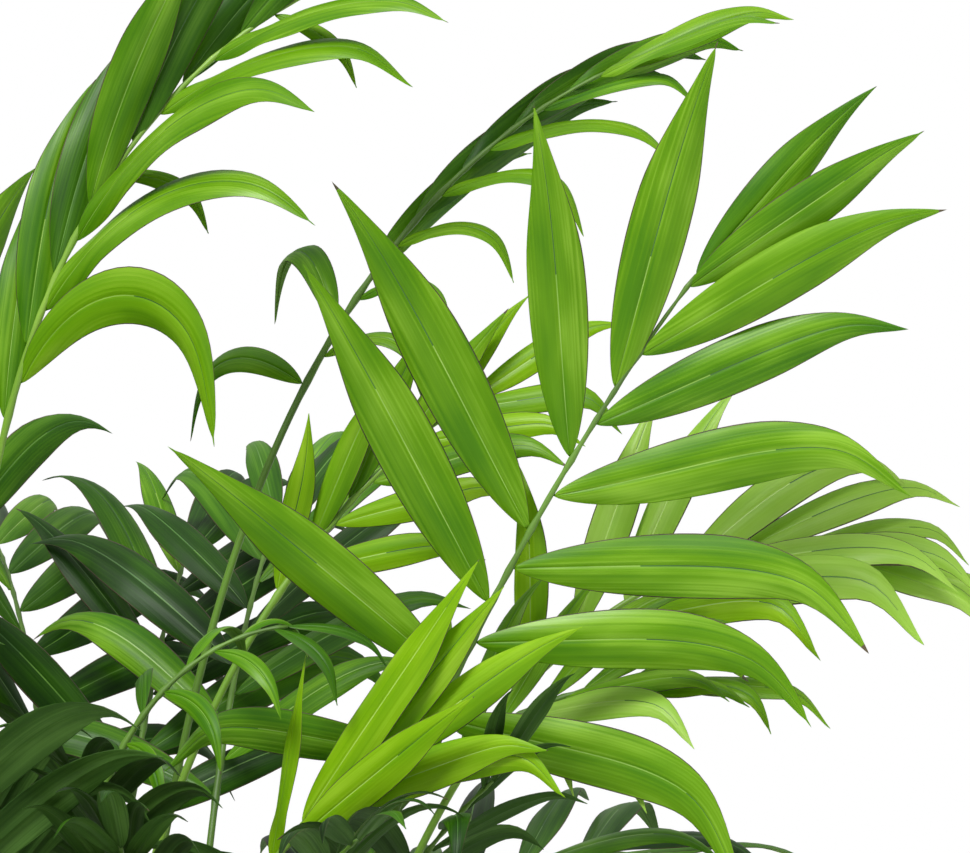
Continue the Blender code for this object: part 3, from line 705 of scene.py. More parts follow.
# Canes and their spears
CANE_DRAWN_SIDES = 28
CANE_STEP = 0.75 * MM
NODE_COUNT = 12
NODE_SPACING = 13 * MM
NODE_CHANCE = (0.75, 1.25)
NODE_SWELLING = 0.55 * MM
NODE_WIDTH = 1.1 * MM
SCAR_SHARE = 0.8
SPEAR_DRAWN_RINGS = 40
SPEAR_PLEATS = 7
SPEAR_PLEAT_DEPTH = 0.16
SPEAR_PLEATED_FROM = 12 * MM
SPEAR_WINDING = 40
SPEAR_GREEN_FROM = 2 * MM

# Pot: rounded corners and throwing lines
POT_DRAWN_SIDES = 128
POT_STEP = 1.6 * MM
POT_ROUNDING = 2 * MM
ROUNDING_STEPS = 5
ROUNDING_REACH = 0.45
THROWING_STEP = 3.1 * MM
THROWING_DEPTH = 0.16 * MM
THROWING_SLANT = 0.5
THROWN_ABOVE = 4 * MM
THROWN_BLEND = 6 * MM
FADING_LENGTH = 11 * MM
FADING_SLANT = 2

# Potting mix: lumps, bark crumbs and perlite
SOIL_DRAWN_SIDES = 120
SOIL_DRAWN_RINGS = 46
SOIL_INNER_SHARE = 0.02
SOIL_LUMP = 1.7 * MM
SOIL_SINK = 1.5 * MM
SOIL_HIGHEST = 3 * MM
SOIL_RIM_CALM = 0.3
SOIL_RIM_BLEND = 8
LUMP_WAVES = 40
LUMP_LONGEST = 26 * MM
LUMP_SHORTEST = 4 * MM
LUMP_POWER = 0.7
CRUMB_COUNT = 620
CRUMB_SIZE = mm(0.9, 3.2)
CRUMB_STRETCH = (0.4, 1)
CRUMB_DENT = (0.6, 1)
CRUMB_RIM_CLEAR = 2.5 * MM
CRUMB_SINK = 0.6 * MM
CRUMB_LEVEL = (-0.6, 0.9)
PERLITE_SHARE = 0.16

# The picture: 3 pixels are 1 mm where the open frond stands, and X = 0, Z = 0 is a pixel of its frame
PHOTO_WIDTH = 970
PHOTO_HEIGHT = 853
PIXEL = MM / 3
ORIGIN_COLUMN = 110
ORIGIN_LINE = 1860
CAMERA_DISTANCE = 1.8
SENSOR = 36
FLOOR_RADIUS = 3.4
FLOOR_SIDES = 96
SUN_WAY = np.array((0.45, 0.75, -0.95))
SUN_STRENGTH = 3.2
SUN_SOFTNESS = 20
SKY_FROM = -0.4
SKY_STRENGTH = (0.2, 0.9)

# Finishes of a leaf blade: its veins and clouds as noise over the blade's own map, and its wax
VEIN_NOISE = (22, 0.4, 1)
CLOUD_NOISE = (1.7, 2, 1)
CLOUD_SHARE = 0.6
SATIN = (0.3, 0.46)
DULL = (0.5, 0.62)
LEAF_IOR = 1.45
LEAF_SPECULAR = 0.27
VEIN_RELIEF = 0.25 * MM

# Which finishes the leaflets of a frond or tier are dealt by chance: the right row and the tip, then
# the left row where it differs
LEAF_FINISHES = {
    "frond_open_right": (("full", "mid", "mid"), ("full", "mid")),
    "frond_tall_left": (("fresh", "mid", "mid"), ("rich", "full", "rich")),
    "frond_tall_middle": (("full", "fresh", "mid"), ("full", "rich")),
    # These fronds are dealt the palest green: partly young leaf and partly painted backlight
    "frond_back_right": (("pale", "pale", "young"),),
    "frond_low_right": (("fresh", "pale", "mid"),),
    "frond_young_front": (("young",),),
    "frond_low_front": (("full", "rich"),),
    "frond_behind": (("young", "fresh", "mid"),),
    "frond_top": (("mid", "full"),),
    "frond_tall": (("full", "rich", "mid"),),
    # The middle, skirt and inner tiers are dealt the darkest greens: partly older leaf and partly painted
    # shade among the crowded low leaves
    "frond_middle": (("rich", "deep", "deep", "full"),),
    "frond_skirt": (("rich", "deep", "shade", "full"),),
    "frond_inner": (("deep", "shade", "deep", "rich", "shade"),),
}
AGE_OF = {
    "pale": "young", "young": "young", "fresh": "grown", "mid": "grown", "full": "grown",
    "rich": "old", "deep": "old", "shade": "old",
}
FRONT_FRONDS = ("frond_open_right", "frond_tall_left", "frond_tall_middle", "frond_young_front",
                "frond_low_front")
YOUNG_STALKS = ("frond_young_front", "frond_back_right", "frond_tall_left", "frond_behind")
STALK_KINDS = ("pale", "green", "sheath")
CANE_SKIN, LEAF_SCAR, SPEAR_LEAF = range(3)


def cosine_shares(count, first, last):
    """Shares closer together near both ends: half evenly spaced, half the cosine of even turns."""
    even = np.linspace(0, 1, count)
    eased = (1 - np.cos(math.pi * even)) / 2
    return between(first, last, (even + eased) / 2)


def onset(t, start, rate=1):
    """A blend that is 0 up to a start and rises smoothly to 1 at the end, or sooner at a higher rate."""
    return smooth_step((t - start) / (1 - start) * rate)


def late_hump(t):
    """A hump that peaks late along a blade: the sine of pi t to the power 2.4."""
    return np.sin(math.pi * t**LATE_POWER)


def hermite(points, directions, length, shares):
    """A smooth curve through the points with the given directions, read at shares of its length.

    Between two points it is the cubic that has both points and both directions.
    """
    steps = len(points) - 1
    place = np.clip(shares * steps, 0, steps - 1e-9)
    low = place.astype(int)
    t = (place - low)[:, None]
    reach = length / steps
    blend_low = (1 + 2 * t) * (1 - t) ** 2
    blend_high = t**2 * (3 - 2 * t)
    pull_low = t * (1 - t) ** 2 * reach
    pull_high = t**2 * (t - 1) * reach
    return (blend_low * points[low] + blend_high * points[low + 1]
            + pull_low * directions[low] + pull_high * directions[low + 1])


def read_at(values, shares):
    """Rows of values read at shares between the first and the last, by straight lines."""
    return read_rows(values, np.linspace(0, 1, len(values)), shares)


class Joined:
    """Skins gathered into one mesh, with the number of a finish for each of their faces."""

    def __init__(self):
        self.parts = []
        self.count = 0

    def add(self, skin, quad_kinds, tri_kinds):
        """A skin put behind those before it. One number of a finish may stand for all its faces."""
        quad_kinds = np.broadcast_to(quad_kinds, len(skin.quads))
        tri_kinds = np.broadcast_to(tri_kinds, len(skin.tris))
        quads, tris = skin.quads + self.count, skin.tris + self.count
        self.parts.append((skin.points, skin.uvs, quads, tris, quad_kinds, tri_kinds))
        self.count += len(skin.points)

    def to_object(self, name, finishes):
        """One smooth mesh object, with the finishes that it uses as material slots."""
        points, uvs, quads, tris, quad_kinds, tri_kinds = map(np.concatenate, zip(*self.parts))
        corners = np.concatenate([quads.ravel(), tris.ravel()]).astype(np.int32)
        starts = np.concatenate([np.arange(len(quads)) * 4, len(quads) * 4 + np.arange(len(tris)) * 3])
        used, slots = np.unique(np.concatenate([quad_kinds, tri_kinds]), return_inverse=True)
        mesh = bpy.data.meshes.new(name)
        mesh.vertices.add(len(points))
        mesh.vertices.foreach_set("co", points.astype(np.float32).ravel())
        mesh.loops.add(len(corners))
        mesh.loops.foreach_set("vertex_index", corners)
        mesh.polygons.add(len(starts))
        mesh.polygons.foreach_set("loop_start", starts.astype(np.int32))
        mesh.update(calc_edges=True)
        mesh.polygons.foreach_set("material_index", slots.astype(np.int32))
        mesh.polygons.foreach_set("use_smooth", np.ones(len(starts), dtype=bool))
        layer = mesh.uv_layers.new(name="blade")
        layer.data.foreach_set("uv", uvs[corners].astype(np.float32).ravel())
        for number in used:
            mesh.materials.append(finishes[number])
        mesh.validate()
        return link_object(name, mesh)


def link_object(name, data):
    """A new object of this data, put into the scene."""
    thing = bpy.data.objects.new(name, data)
    bpy.context.scene.collection.objects.link(thing)
    return thing


def even_uvs(count, sides):
    """A map that runs once around the rings and once from the first ring to the last."""
    around = np.arange(sides) / sides
    up = np.linspace(0, 1, count)[:, None]
    return np.stack(np.broadcast_arrays(around, up), axis=-1)


def wrap(rings, first=None, last=None, uvs=None):
    """A closed skin: walls between rings, and a fan at each end to a point, or to the ring's middle.

    The corners of a ring run left-handed or right-handed about the way from ring to ring, and the
    faces are turned to point outwards for either.
    """
    first = rings[0].mean(axis=0) if first is None else first
    last = rings[-1].mean(axis=0) if last is None else last
    uvs = even_uvs(*rings.shape[:2]) if uvs is None else uvs
    count, sides = rings.shape[:2]
    low = np.arange(count - 1)[:, None] * sides
    corner = np.arange(sides)
    after = (corner + 1) % sides
    walls = np.stack([low + corner, low + after, low + sides + after, low + sides + corner], axis=-1)
    start, end = np.full(sides, count * sides), np.full(sides, count * sides + 1)
    top = (count - 1) * sides
    fans = (np.stack([start, after, corner], axis=-1), np.stack([end, top + corner, top + after], axis=-1))
    quads, tris = walls.reshape(-1, 4), np.concatenate(fans)
    before, middle, beyond = (rings[count // 2 + step] for step in (-1, 0, 1))
    spokes = middle - middle.mean(axis=0)
    turn = np.cross(spokes, np.roll(middle, -1, axis=0) - middle).sum(axis=0)
    if turn @ (beyond.mean(axis=0) - before.mean(axis=0)) < 0:
        quads, tris = quads[:, ::-1], tris[:, ::-1]
    points = np.concatenate([rings.reshape(-1, 3), [first, last]])
    flat = np.concatenate([uvs.reshape(-1, 2), [uvs[0].mean(axis=0), uvs[-1].mean(axis=0)]])
    return Skin(points, flat, quads, tris)


def outward(skin):
    """The skin with its faces turned round if the volume that they enclose comes out negative."""
    faces = np.concatenate([skin.tris, skin.quads[:, :3], skin.quads[:, [0, 2, 3]]])
    a, b, c = (skin.points[faces[:, i]] for i in range(3))
    if np.einsum("ij,ij->i", a, np.cross(b, c)).sum() > 0:
        return skin
    return skin._replace(quads=skin.quads[:, ::-1], tris=skin.tris[:, ::-1])


def single_skin(name, skin, finish):
    """An object of one skin that points outwards, in one finish."""
    gather = Joined()
    gather.add(outward(skin), 0, 0)
    return gather.to_object(name, [finish])


def blade_line(leaflet, length, stations, wild, rng):
    """Shares along a blade, its midline and frame there, and how far it droops, from 0 to 1.

    The blade bends within its plane and twists slowly, and wild says how strongly. One that lies level
    stays up at first, by the late hump, and then hooks down near its end.
    """
    t = cosine_shares(stations, *BLADE_SPAN)
    line = hermite(leaflet.line, leaflet.along, length, t)
    across = unit(read_at(leaflet.across, t))
    normal = unit(read_at(leaflet.normal, t))
    bend = SIDE_BEND_SHARE * length * wild * rng.uniform(-1, 1)
    rise = max(0, unit(line[-1] - line[0]) @ UP)
    droop = max(0, 1 - STRAIGHTENING * rise) * rng.uniform(*DROOP_CHANCE)
    hook = (HOOK_SHARE * onset(t, HOOK_FROM) ** 2 - LIFT_SHARE * late_hump(t)) * length * droop
    line = line + across * (bend * np.sin(math.pi * t) * t)[:, None] - UP * hook[:, None]
    twist = np.radians(TWIST * wild * rng.uniform(-1, 1) * t**TWIST_POWER)[:, None]
    twisted_across = np.cos(twist) * across + np.sin(twist) * normal
    twisted_normal = np.cos(twist) * normal - np.sin(twist) * across
    return t, line, twisted_across, twisted_normal, droop


def blade_half(t, length, droop, rng):
    """Half the width along a blade: the plan's, slimmer towards the tip where it stands up and fuller
    where it droops, and drawn out to a thread at the end."""
    slim = 1 - between(*SLIM_SHARE, droop) * onset(t, SLIM_FROM)
    slim = slim * (1 + FULLNESS * droop * late_hump(t))
    thread = 1 - rng.uniform(0, THREAD_CHANCE) * onset(t, THREAD_FROM, THREAD_RATE)
    return np.maximum(WIDTH_SHARE * length * leaf_width(t) / 2 * slim * thread, THREAD_HALF)


def blade_sections(leaflet, length, u, stations, wild, rng):
    """A blade's closed sections, upper side first, at shares of its length, its tip, and its width as a
    share of the widest.

    At share u of half the width h, the upper side lies at minus h sin(fold) |u|^1.2, which folds the
    blade down from its midrib, plus a sine of pi |u| that arches each half. A groove of bell shape
    runs along the midrib, and the margin waves by a sine of the length with |u| cubed. The underside
    lies a thickness below, thinned to nothing at the margin by 1 - u^4, and its midrib stands out.
    """
    t, line, across, normal, droop = blade_line(leaflet, length, stations, wild, rng)
    half = blade_half(t, length, droop, rng)[:, None]
    tee = t[:, None]
    turns = rng.uniform(*WAVES) * tee + rng.uniform(0, 1)
    wave = WAVE_SHARE * np.sin(2 * math.pi * turns) * np.abs(u) ** 3
    uneven = wave * np.where(u > 0, rng.uniform(*WAVE_CHANCE), -rng.uniform(*WAVE_CHANCE))
    arch = BULGE * np.sin(math.pi * np.abs(u))
    fold = math.radians(FOLD)
    folded = math.sin(fold) * np.abs(u) ** FOLD_ROUNDNESS
    rib = np.exp(-((u / RIB_SHARE) ** 2))
    fade = np.clip((1 - tee) * RIB_FADING, 0, 1)
    upper = half * (uneven + arch - folded) - GROOVE_DEPTH * rib * fade
    thickness = BLADE_THICKNESS * (1 - u**4) * np.minimum(1, half / BLADE_THICKNESS)
    standing_rib = (RIB_HEIGHT + GROOVE_DEPTH) * rib * fade * np.minimum(1, half / RIB_HEIGHT)
    lower = upper - thickness - standing_rib
    middle = line[:, None] + (half * math.cos(fold) * u)[..., None] * across[:, None]
    top, bottom = (middle + side[..., None] * normal[:, None] for side in (upper, lower))
    rings = np.concatenate([top, bottom[:, -2:0:-1]], axis=1)
    tip = line[-1] + unit(line[-1] - line[-2]) * (1 - t[-1]) * length
    return t, rings, tip, half / half.max()


def blade_finishes(t, upper, kind, numbers, rng):
    """The finish of each wall of a blade and of the fans at its ends, as numbers.

    The midrib is a pale line from the foot, and further out a dark line of painted shade in its
    groove. The margins are dark by chance, and the tip is dry by chance.
    """
    around, midrib = 2 * upper - 2, upper // 2 - 1
    age = AGE_OF[kind]
    row = np.where(np.arange(around) < upper - 1, numbers[kind], numbers[f"{age}_underside"])
    row[midrib] = numbers[f"{age}_midrib"]
    for edge in (0, upper - 2):
        if rng.uniform() < MARGIN_CHANCE:
            row[edge] = numbers["margin"]
    walls = np.tile(row, (len(t) - 1, 1))
    # Beyond the pale midrib, a dark strip painted as the shade in its groove
    walls[t[1:] > rng.uniform(*MIDRIB_END), midrib] = numbers["groove"]
    walls[t[1:] > PAINTED_GROOVE_SHADE_END, midrib] = numbers[kind]
    dry_from = rng.uniform(*DRY_TIP_FROM)
    walls[t[1:] > dry_from] = numbers["margin"]
    fans = (numbers[kind], numbers["margin" if dry_from < 1 else kind])
    return walls.ravel(), np.repeat(fans, around)


def draw_blade(gather, leaflet, kind, fine, numbers, rng):
    """One leaflet added to a joined mesh.

    The UV runs across it by its width to the power 0.75, so that its veins gather towards both ends.
    """
    u = np.array(FINE_HALF if fine else PLAIN_HALF)
    u = np.concatenate([-u[::-1], u])
    stations = FINE_STATIONS if fine else PLAIN_STATIONS
    length = np.linalg.norm(np.diff(leaflet.line, axis=0), axis=1).sum()
    t, rings, tip, width = blade_sections(leaflet, length, u, stations, 1 if fine else WILD, rng)
    around = np.concatenate([u, u[-2:0:-1]])
    up = (t * length / UV_LENGTH + rng.uniform(0, UV_CHANCE))[:, None]
    uvs = np.stack(np.broadcast_arrays((around * width**VEIN_GATHERING + 1) / 2, up), axis=-1)
    skin = wrap(rings, leaflet.line[0], tip, uvs)
    gather.add(skin, *blade_finishes(t, len(u), kind, numbers, rng))


def draw_stalk(gather, frond, path, kind):
    """Petiole and rachis: a round bar that thins as its solid does, with a bell-shaped swelling where
    each leaflet stands, flattened a little on top."""
    distance = np.linspace(0, frond.petiole + frond.blade, STALK_RINGS)
    feet = np.concatenate([leaflet_feet(frond, side) for side in (1, -1)]) + LEAFLET_FOOT / 2
    bells = np.exp(-(((distance[:, None] - feet) / SWELLING_LENGTH) ** 2)).sum(axis=1)
    radius = (at(path, "half", distance) + SWELLING * np.minimum(bells, 1))[:, None, None]
    normal, side = (unit(at(path, field, distance))[:, None] for field in ("normal", "side"))
    cosine, sine = circle(STALK_SIDES)[:, :2].T
    flat = np.where(sine > 0, STALK_FLATNESS, 1)
    rings = (at(path, "points", distance)[:, None] + radius * cosine[:, None] * side
             + radius * (sine * flat)[:, None] * normal)
    number = STALK_KINDS.index(kind)
    gather.add(wrap(rings), number, number)


def draw_sheath(gather, cane, path, layer):
    """The clasping foot of a petiole: a thin shell that wraps the cane at its lower edge and narrows
    upwards until it is no wider than the petiole. Its radius grows smoothly from the cane's skin to
    the petiole's outer side, and fine ribs run up it as a cosine of the turn."""
    share = np.linspace(0, 1, SHEATH_RINGS)
    out = path.points[0] - cane.foot
    height = out @ cane.axis
    way = unit(out - height * cane.axis)
    beside = np.cross(cane.axis, way)
    reach = np.linalg.norm(out - height * cane.axis)
    up = height - SHEATH_BELOW + (SHEATH_BELOW + SHEATH_ABOVE) * share
    up = np.maximum(up, CLEAR + share * SHEATH_LEAST_RISE)
    skin = cane_radius(np.clip(up / cane.height, 0, 1)) + SHEATH_LAYER * (1 + layer)
    radius = skin + (reach + PETIOLE_FOOT_HALF - skin) * smooth_step(share * SHEATH_GROWTH)
    half_turn = np.radians(between(*SHEATH_WRAP, smooth_step(share) ** SHEATH_NARROWING))
    turn = half_turn[:, None] * np.linspace(-1, 1, SHEATH_COLUMNS)
    ribs = SHEATH_RIB_DEPTH * np.cos(turn * SHEATH_RIBS)
    spokes = np.cos(turn)[..., None] * way + np.sin(turn)[..., None] * beside
    middle = cane.foot + up[:, None, None] * cane.axis
    outer = middle + (radius[:, None] + ribs)[..., None] * spokes
    inner = middle + (radius[:, None] - SHEATH_THICKNESS)[..., None] * spokes
    shell = wrap(np.concatenate([outer, inner[:, ::-1]], axis=1))
    number = STALK_KINDS.index("sheath")
    gather.add(with_edge_strips(shell), number, number)


def with_edge_strips(shell):
    """A sheath's shell closed by strips along its lower and upper edges, in place of the fans.

    Each ring runs out along the outer side and back along the inner side.
    """
    outer = np.arange(SHEATH_COLUMNS - 1)
    inner = 2 * SHEATH_COLUMNS - 1 - outer
    low = np.stack([outer, inner, inner - 1, outer + 1], axis=-1)
    high = (SHEATH_RINGS - 1) * 2 * SHEATH_COLUMNS + low[:, ::-1]
    strips = np.concatenate([low, high])
    is_turned = shell.quads[0][0] != 0
    quads = np.concatenate([shell.quads, strips[:, ::-1] if is_turned else strips])
    return Skin(shell.points[:-2], shell.uvs[:-2], quads, shell.tris[:0])


def draw_cane(cane, rng, finishes):
    """A cane with a raised ring at every old leaf scar, and the pleated spear at its top.

    The radius follows the solid's flare and taper, plus a bell-shaped ring every 13 mm or so. The
    spear narrows by the same power as its solid, with a cosine of the turn pressed in as pleats that
    wind slowly round it.
    """
    along = np.arange(0, cane.height, CANE_STEP)
    spear = np.linspace(0, 1, SPEAR_DRAWN_RINGS)
    nodes = np.cumsum(rng.uniform(*NODE_CHANCE, NODE_COUNT) * NODE_SPACING)
    near = np.abs(along[:, None] - nodes).min(axis=1)
    radius_low = cane_radius(along / cane.height) + NODE_SWELLING * np.exp(-((near / NODE_WIDTH) ** 2))
    radius_high = between(CANE_NECK_RADIUS, SPEAR_TIP_RADIUS, spear**SPEAR_TAPER)
    radius = np.concatenate([radius_low, radius_high])[:, None]
    height = np.concatenate([along, cane.height + spear * cane.spear])[:, None]
    into_spear = smooth_step((height - cane.height) / SPEAR_PLEATED_FROM)
    winding = even_turns(CANE_DRAWN_SIDES) * SPEAR_PLEATS + height * SPEAR_WINDING
    pleated = 1 - SPEAR_PLEAT_DEPTH * into_spear * (0.5 - 0.5 * np.cos(winding))
    ring = circle(CANE_DRAWN_SIDES)
    rings = cane.foot + height[..., None] * cane.axis + (radius * pleated)[..., None] * ring
    tip = cane.foot + (cane.height + cane.spear) * cane.axis
    is_scar = np.append(near < NODE_WIDTH * SCAR_SHARE, np.zeros(len(spear), dtype=bool))[1:]
    is_leaf = height[1:, 0] > cane.height + SPEAR_GREEN_FROM
    kinds = np.where(is_leaf, SPEAR_LEAF, np.where(is_scar, LEAF_SCAR, CANE_SKIN))
    gather = Joined()
    gather.add(wrap(rings, cane.foot, tip), np.repeat(kinds, CANE_DRAWN_SIDES),
               np.repeat((CANE_SKIN, SPEAR_LEAF), CANE_DRAWN_SIDES))
    return gather.to_object(f"{cane.name}_skin", finishes)


def rounded(corners, radius):
    """A line through corners, each rounded by the curve that starts and ends a radius away from it
    and is drawn towards the corner itself."""
    pieces = [corners[:1]]
    s = np.linspace(0, 1, ROUNDING_STEPS)[:, None]
    for before, corner, after in zip(corners, corners[1:], corners[2:]):
        back, on = before - corner, after - corner
        reach = min(radius, *(ROUNDING_REACH * np.linalg.norm(leg) for leg in (back, on)))
        start, end = corner + unit(back) * reach, corner + unit(on) * reach
        pieces.append((1 - s) ** 2 * start + 2 * s * (1 - s) * corner + s**2 * end)
    pieces.append(corners[-1:])
    return np.concatenate(pieces)


def spread_evenly(line, step):
    """The line read again so that no two points lie further apart than the step."""
    gaps = np.linalg.norm(np.diff(line, axis=0), axis=1)
    counts = np.maximum(1, np.ceil(gaps / step).astype(int))
    shares = [low + np.arange(count) / count for low, count in enumerate(counts)]
    return read_at(line, np.append(np.concatenate(shares), len(line) - 1) / (len(line) - 1))


def draw_pot(finish):
    """The pot turned from its outline with rounded corners.

    The wall carries throwing lines: the size of a sine of the height, tilted a little by the sine of
    the turn, is pressed in to a depth that fades in and out by a slower sine.
    """
    outline = spread_evenly(rounded(pot_outline(), POT_ROUNDING), POT_STEP)
    radius, height = outline[:, :1], outline[:, 1:]
    ring = circle(POT_DRAWN_SIDES)
    cosine, sine = ring[:, :2].T
    standing = smooth_step((height - THROWN_ABOVE) / THROWN_BLEND)
    lines = THROWING_DEPTH * np.sin(2 * math.pi * height / THROWING_STEP + THROWING_SLANT * sine)
    fading = 0.5 + 0.5 * np.sin(height / FADING_LENGTH + FADING_SLANT * cosine)
    drawn = radius - standing * (np.abs(lines) * fading)
    rings = drawn[..., None] * ring + height[..., None] * UP
    return single_skin("pot_turned", wrap(rings, np.zeros(3), POT_FLOOR * UP), finish)


def lumps(places, rng):
    """A bumpy height over level places: a sum of sines in random directions, smaller where finer."""
    lengths = LUMP_LONGEST * (LUMP_SHORTEST / LUMP_LONGEST) ** rng.uniform(0, 1, LUMP_WAVES)
    turn = rng.uniform(0, 2 * math.pi, LUMP_WAVES)
    ways = np.stack([np.cos(turn), np.sin(turn)]) * 2 * math.pi / lengths
    waves = np.sin(places @ ways + rng.uniform(0, 2 * math.pi, LUMP_WAVES))
    return (waves * (lengths / LUMP_LONGEST) ** LUMP_POWER).sum(axis=-1) / math.sqrt(LUMP_WAVES)


def draw_soil(rng, finish):
    """The potting mix: the solid's plug with a bumpy top, as rings from its rim to its middle. The bumps
    get calmer near the rim."""
    low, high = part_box("soil")
    ring = circle(SOIL_DRAWN_SIDES)
    shares = np.linspace(1, SOIL_INNER_SHARE, SOIL_DRAWN_RINGS)
    flat = high[0] * shares[:, None, None] * ring
    calm = between(SOIL_RIM_CALM, 1, smooth_step((1 - shares) * SOIL_RIM_BLEND))[:, None]
    height = high[2] - SOIL_SINK + SOIL_LUMP * lumps(flat[..., :2], rng) * calm
    top = flat + np.minimum(height, high[2] + SOIL_HIGHEST)[..., None] * UP
    bottom = (POT_FOOT_RADIUS - POT_WALL - SOIL_SIDE_CLEAR) * ring + low[2] * UP
    skin = wrap(np.concatenate([bottom[None], top]), low[2] * UP)
    return single_skin("potting_mix_bed", skin, finish)


def draw_crumbs(rng, finishes):
    """Loose bark crumbs and perlite on the potting mix: eight-faced grains, each stretched, dented and
    turned at random, dealt evenly over the disc by the root of a random share."""
    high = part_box("soil")[1]
    ring = np.arange(4)
    above, below = np.full(4, 4), np.full(4, 5)
    corners = np.concatenate([circle(4), [UP, -UP]]).round()
    faces = np.concatenate([np.stack([ring, (ring + 1) % 4, above], axis=-1),
                            np.stack([(ring + 1) % 4, ring, below], axis=-1)])
    size = rng.uniform(*CRUMB_SIZE, CRUMB_COUNT)
    stretch = rng.uniform(*CRUMB_STRETCH, (CRUMB_COUNT, 1, 3)) * size[:, None, None] / 2
    turned, _ = np.linalg.qr(rng.normal(size=(CRUMB_COUNT, 3, 3)))
    turned *= np.sign(np.linalg.det(turned))[:, None, None]
    grains = (corners * rng.uniform(*CRUMB_DENT, (CRUMB_COUNT, 6, 1)) * stretch) @ turned
    radius = (high[0] - CRUMB_RIM_CLEAR) * np.sqrt(rng.uniform(0, 1, CRUMB_COUNT))
    turn = rng.uniform(0, 2 * math.pi, CRUMB_COUNT)
    level = high[2] - CRUMB_SINK + rng.uniform(*CRUMB_LEVEL, CRUMB_COUNT) * MM
    places = np.stack([radius * np.cos(turn), radius * np.sin(turn), level], axis=-1)
    points = (grains + places[:, None]).reshape(-1, 3)
    tris = (faces + 6 * np.arange(CRUMB_COUNT)[:, None, None]).reshape(-1, 3)
    is_perlite = np.repeat(rng.uniform(0, 1, CRUMB_COUNT) < PERLITE_SHARE, len(faces))
    gather = Joined()
    gather.add(Skin(points, points[:, :2] / UV_LENGTH, np.zeros((0, 4), dtype=int), tris),
               0, is_perlite.astype(int))
    return gather.to_object("potting_mix_crumbs", finishes)


def linear(hex_colour):
    """An sRGB hex colour as linear red, green and blue with alpha 1."""
    channels = [int(hex_colour[i:i + 2], 16) / 255 for i in (1, 3, 5)]
    return (*(c / 12.92 if c <= 0.04045 else ((c + 0.055) / 1.055) ** 2.4 for c in channels), 1)


def feed(tree, node, inputs):
    """Each named input of a node set to a value, or linked from another node's output."""
    for name, value in inputs.items():
        if isinstance(value, bpy.types.NodeSocket):
            tree.links.new(value, node.inputs[name])
        else:
            node.inputs[name].default_value = value


def add_node(tree, kind, output, inputs=None, stops=(), **settings):
    """One output of a new node with these settings and inputs, and for a ramp its stops, as place and
    hex colour."""
    node = tree.nodes.new(f"ShaderNode{kind}")
    for name, value in settings.items():
        setattr(node, name, value)
    feed(tree, node, inputs or {})
    if stops:
        points = node.color_ramp.elements
        while len(points) < len(stops):
            points.new(0.5)
        for point, (place, colour) in zip(points, stops):
            point.position = place
            point.color = linear(colour)
    return node.outputs[output]


def new_material(name):
    """An empty material with its tree and its principled shader."""
    finish = bpy.data.materials.new(name)
    finish.use_nodes = True
    return finish, finish.node_tree, finish.node_tree.nodes["Principled BSDF"]


def leaf_blade(name, dark, plain, light, glow, through, rough=SATIN):
    """Living palm leaf: a waxy skin over veins that run from end to end.

    The veins are noise drawn out along the blade, 22 across its width, the clouds are slower noise
    about 50 mm long, and light that falls on the far side shines through in a yellower green. The
    wax is rubbed duller where the clouds are dark.
    """
    finish, tree, shader = new_material(name)
    uv = add_node(tree, "UVMap", "UV", uv_map="blade")
    drawn, slow = (add_node(tree, "Mapping", "Vector", {"Vector": uv, "Scale": scale})
                   for scale in (VEIN_NOISE, CLOUD_NOISE))
    veins = add_node(tree, "TexNoise", "Fac", {"Vector": drawn, "Scale": 1, "Detail": 4})
    clouds = add_node(tree, "TexNoise", "Fac", {"Vector": slow, "Scale": 1, "Detail": 2})
    blend = add_node(tree, "Mix", "Result", {"Factor": CLOUD_SHARE, "A": veins, "B": clouds},
                     data_type="FLOAT")
    colour = add_node(tree, "ValToRGB", "Color", {0: blend},
                      ((0.37, dark), (0.5, plain), (0.63, light)))
    wax = add_node(tree, "MapRange", "Result", {
        "Value": clouds, "From Min": 0.35, "From Max": 0.65, "To Min": rough[1], "To Max": rough[0]})
    relief = add_node(tree, "Bump", "Normal", {
        "Strength": 0.35, "Distance": VEIN_RELIEF, "Height": veins})
    feed(tree, shader, {"Base Color": colour, "Roughness": wax, "Normal": relief, "IOR": LEAF_IOR,
                        "Specular IOR Level": LEAF_SPECULAR})
    shine = add_node(tree, "BsdfTranslucent", "BSDF", {"Color": linear(glow)})
    both = add_node(tree, "MixShader", "Shader", {0: through, 1: shader.outputs["BSDF"], 2: shine})
    feed(tree, tree.nodes["Material Output"], {"Surface": both})
    return finish


def plain_skin(name, dark, light, grain, roughness, bump=0, detail=4, depth=0.2, stretch=1):
    """A natural skin with one mottle: noise between two near colours, and a matching bump.

    The grain is the mottle's size and the depth is the bump's, in millimetres. The stretch draws the
    mottle out upwards, and below 1 it gets longer.
    """
    finish, tree, shader = new_material(name)
    place = add_node(tree, "TexCoord", "Object")
    drawn = add_node(tree, "Mapping", "Vector", {"Vector": place, "Scale": (1, 1, stretch)})
    mottle = add_node(tree, "TexNoise", "Fac", {
        "Vector": drawn, "Scale": 1 / (grain * MM), "Detail": detail})
    colour = add_node(tree, "ValToRGB", "Color", {0: mottle}, ((0.35, dark), (0.65, light)))
    feed(tree, shader, {"Base Color": colour, "Roughness": roughness})
    if bump:
        relief = add_node(tree, "Bump", "Normal", {
            "Strength": bump, "Distance": depth * MM, "Height": mottle})
        feed(tree, shader, {"Normal": relief})
    return finish


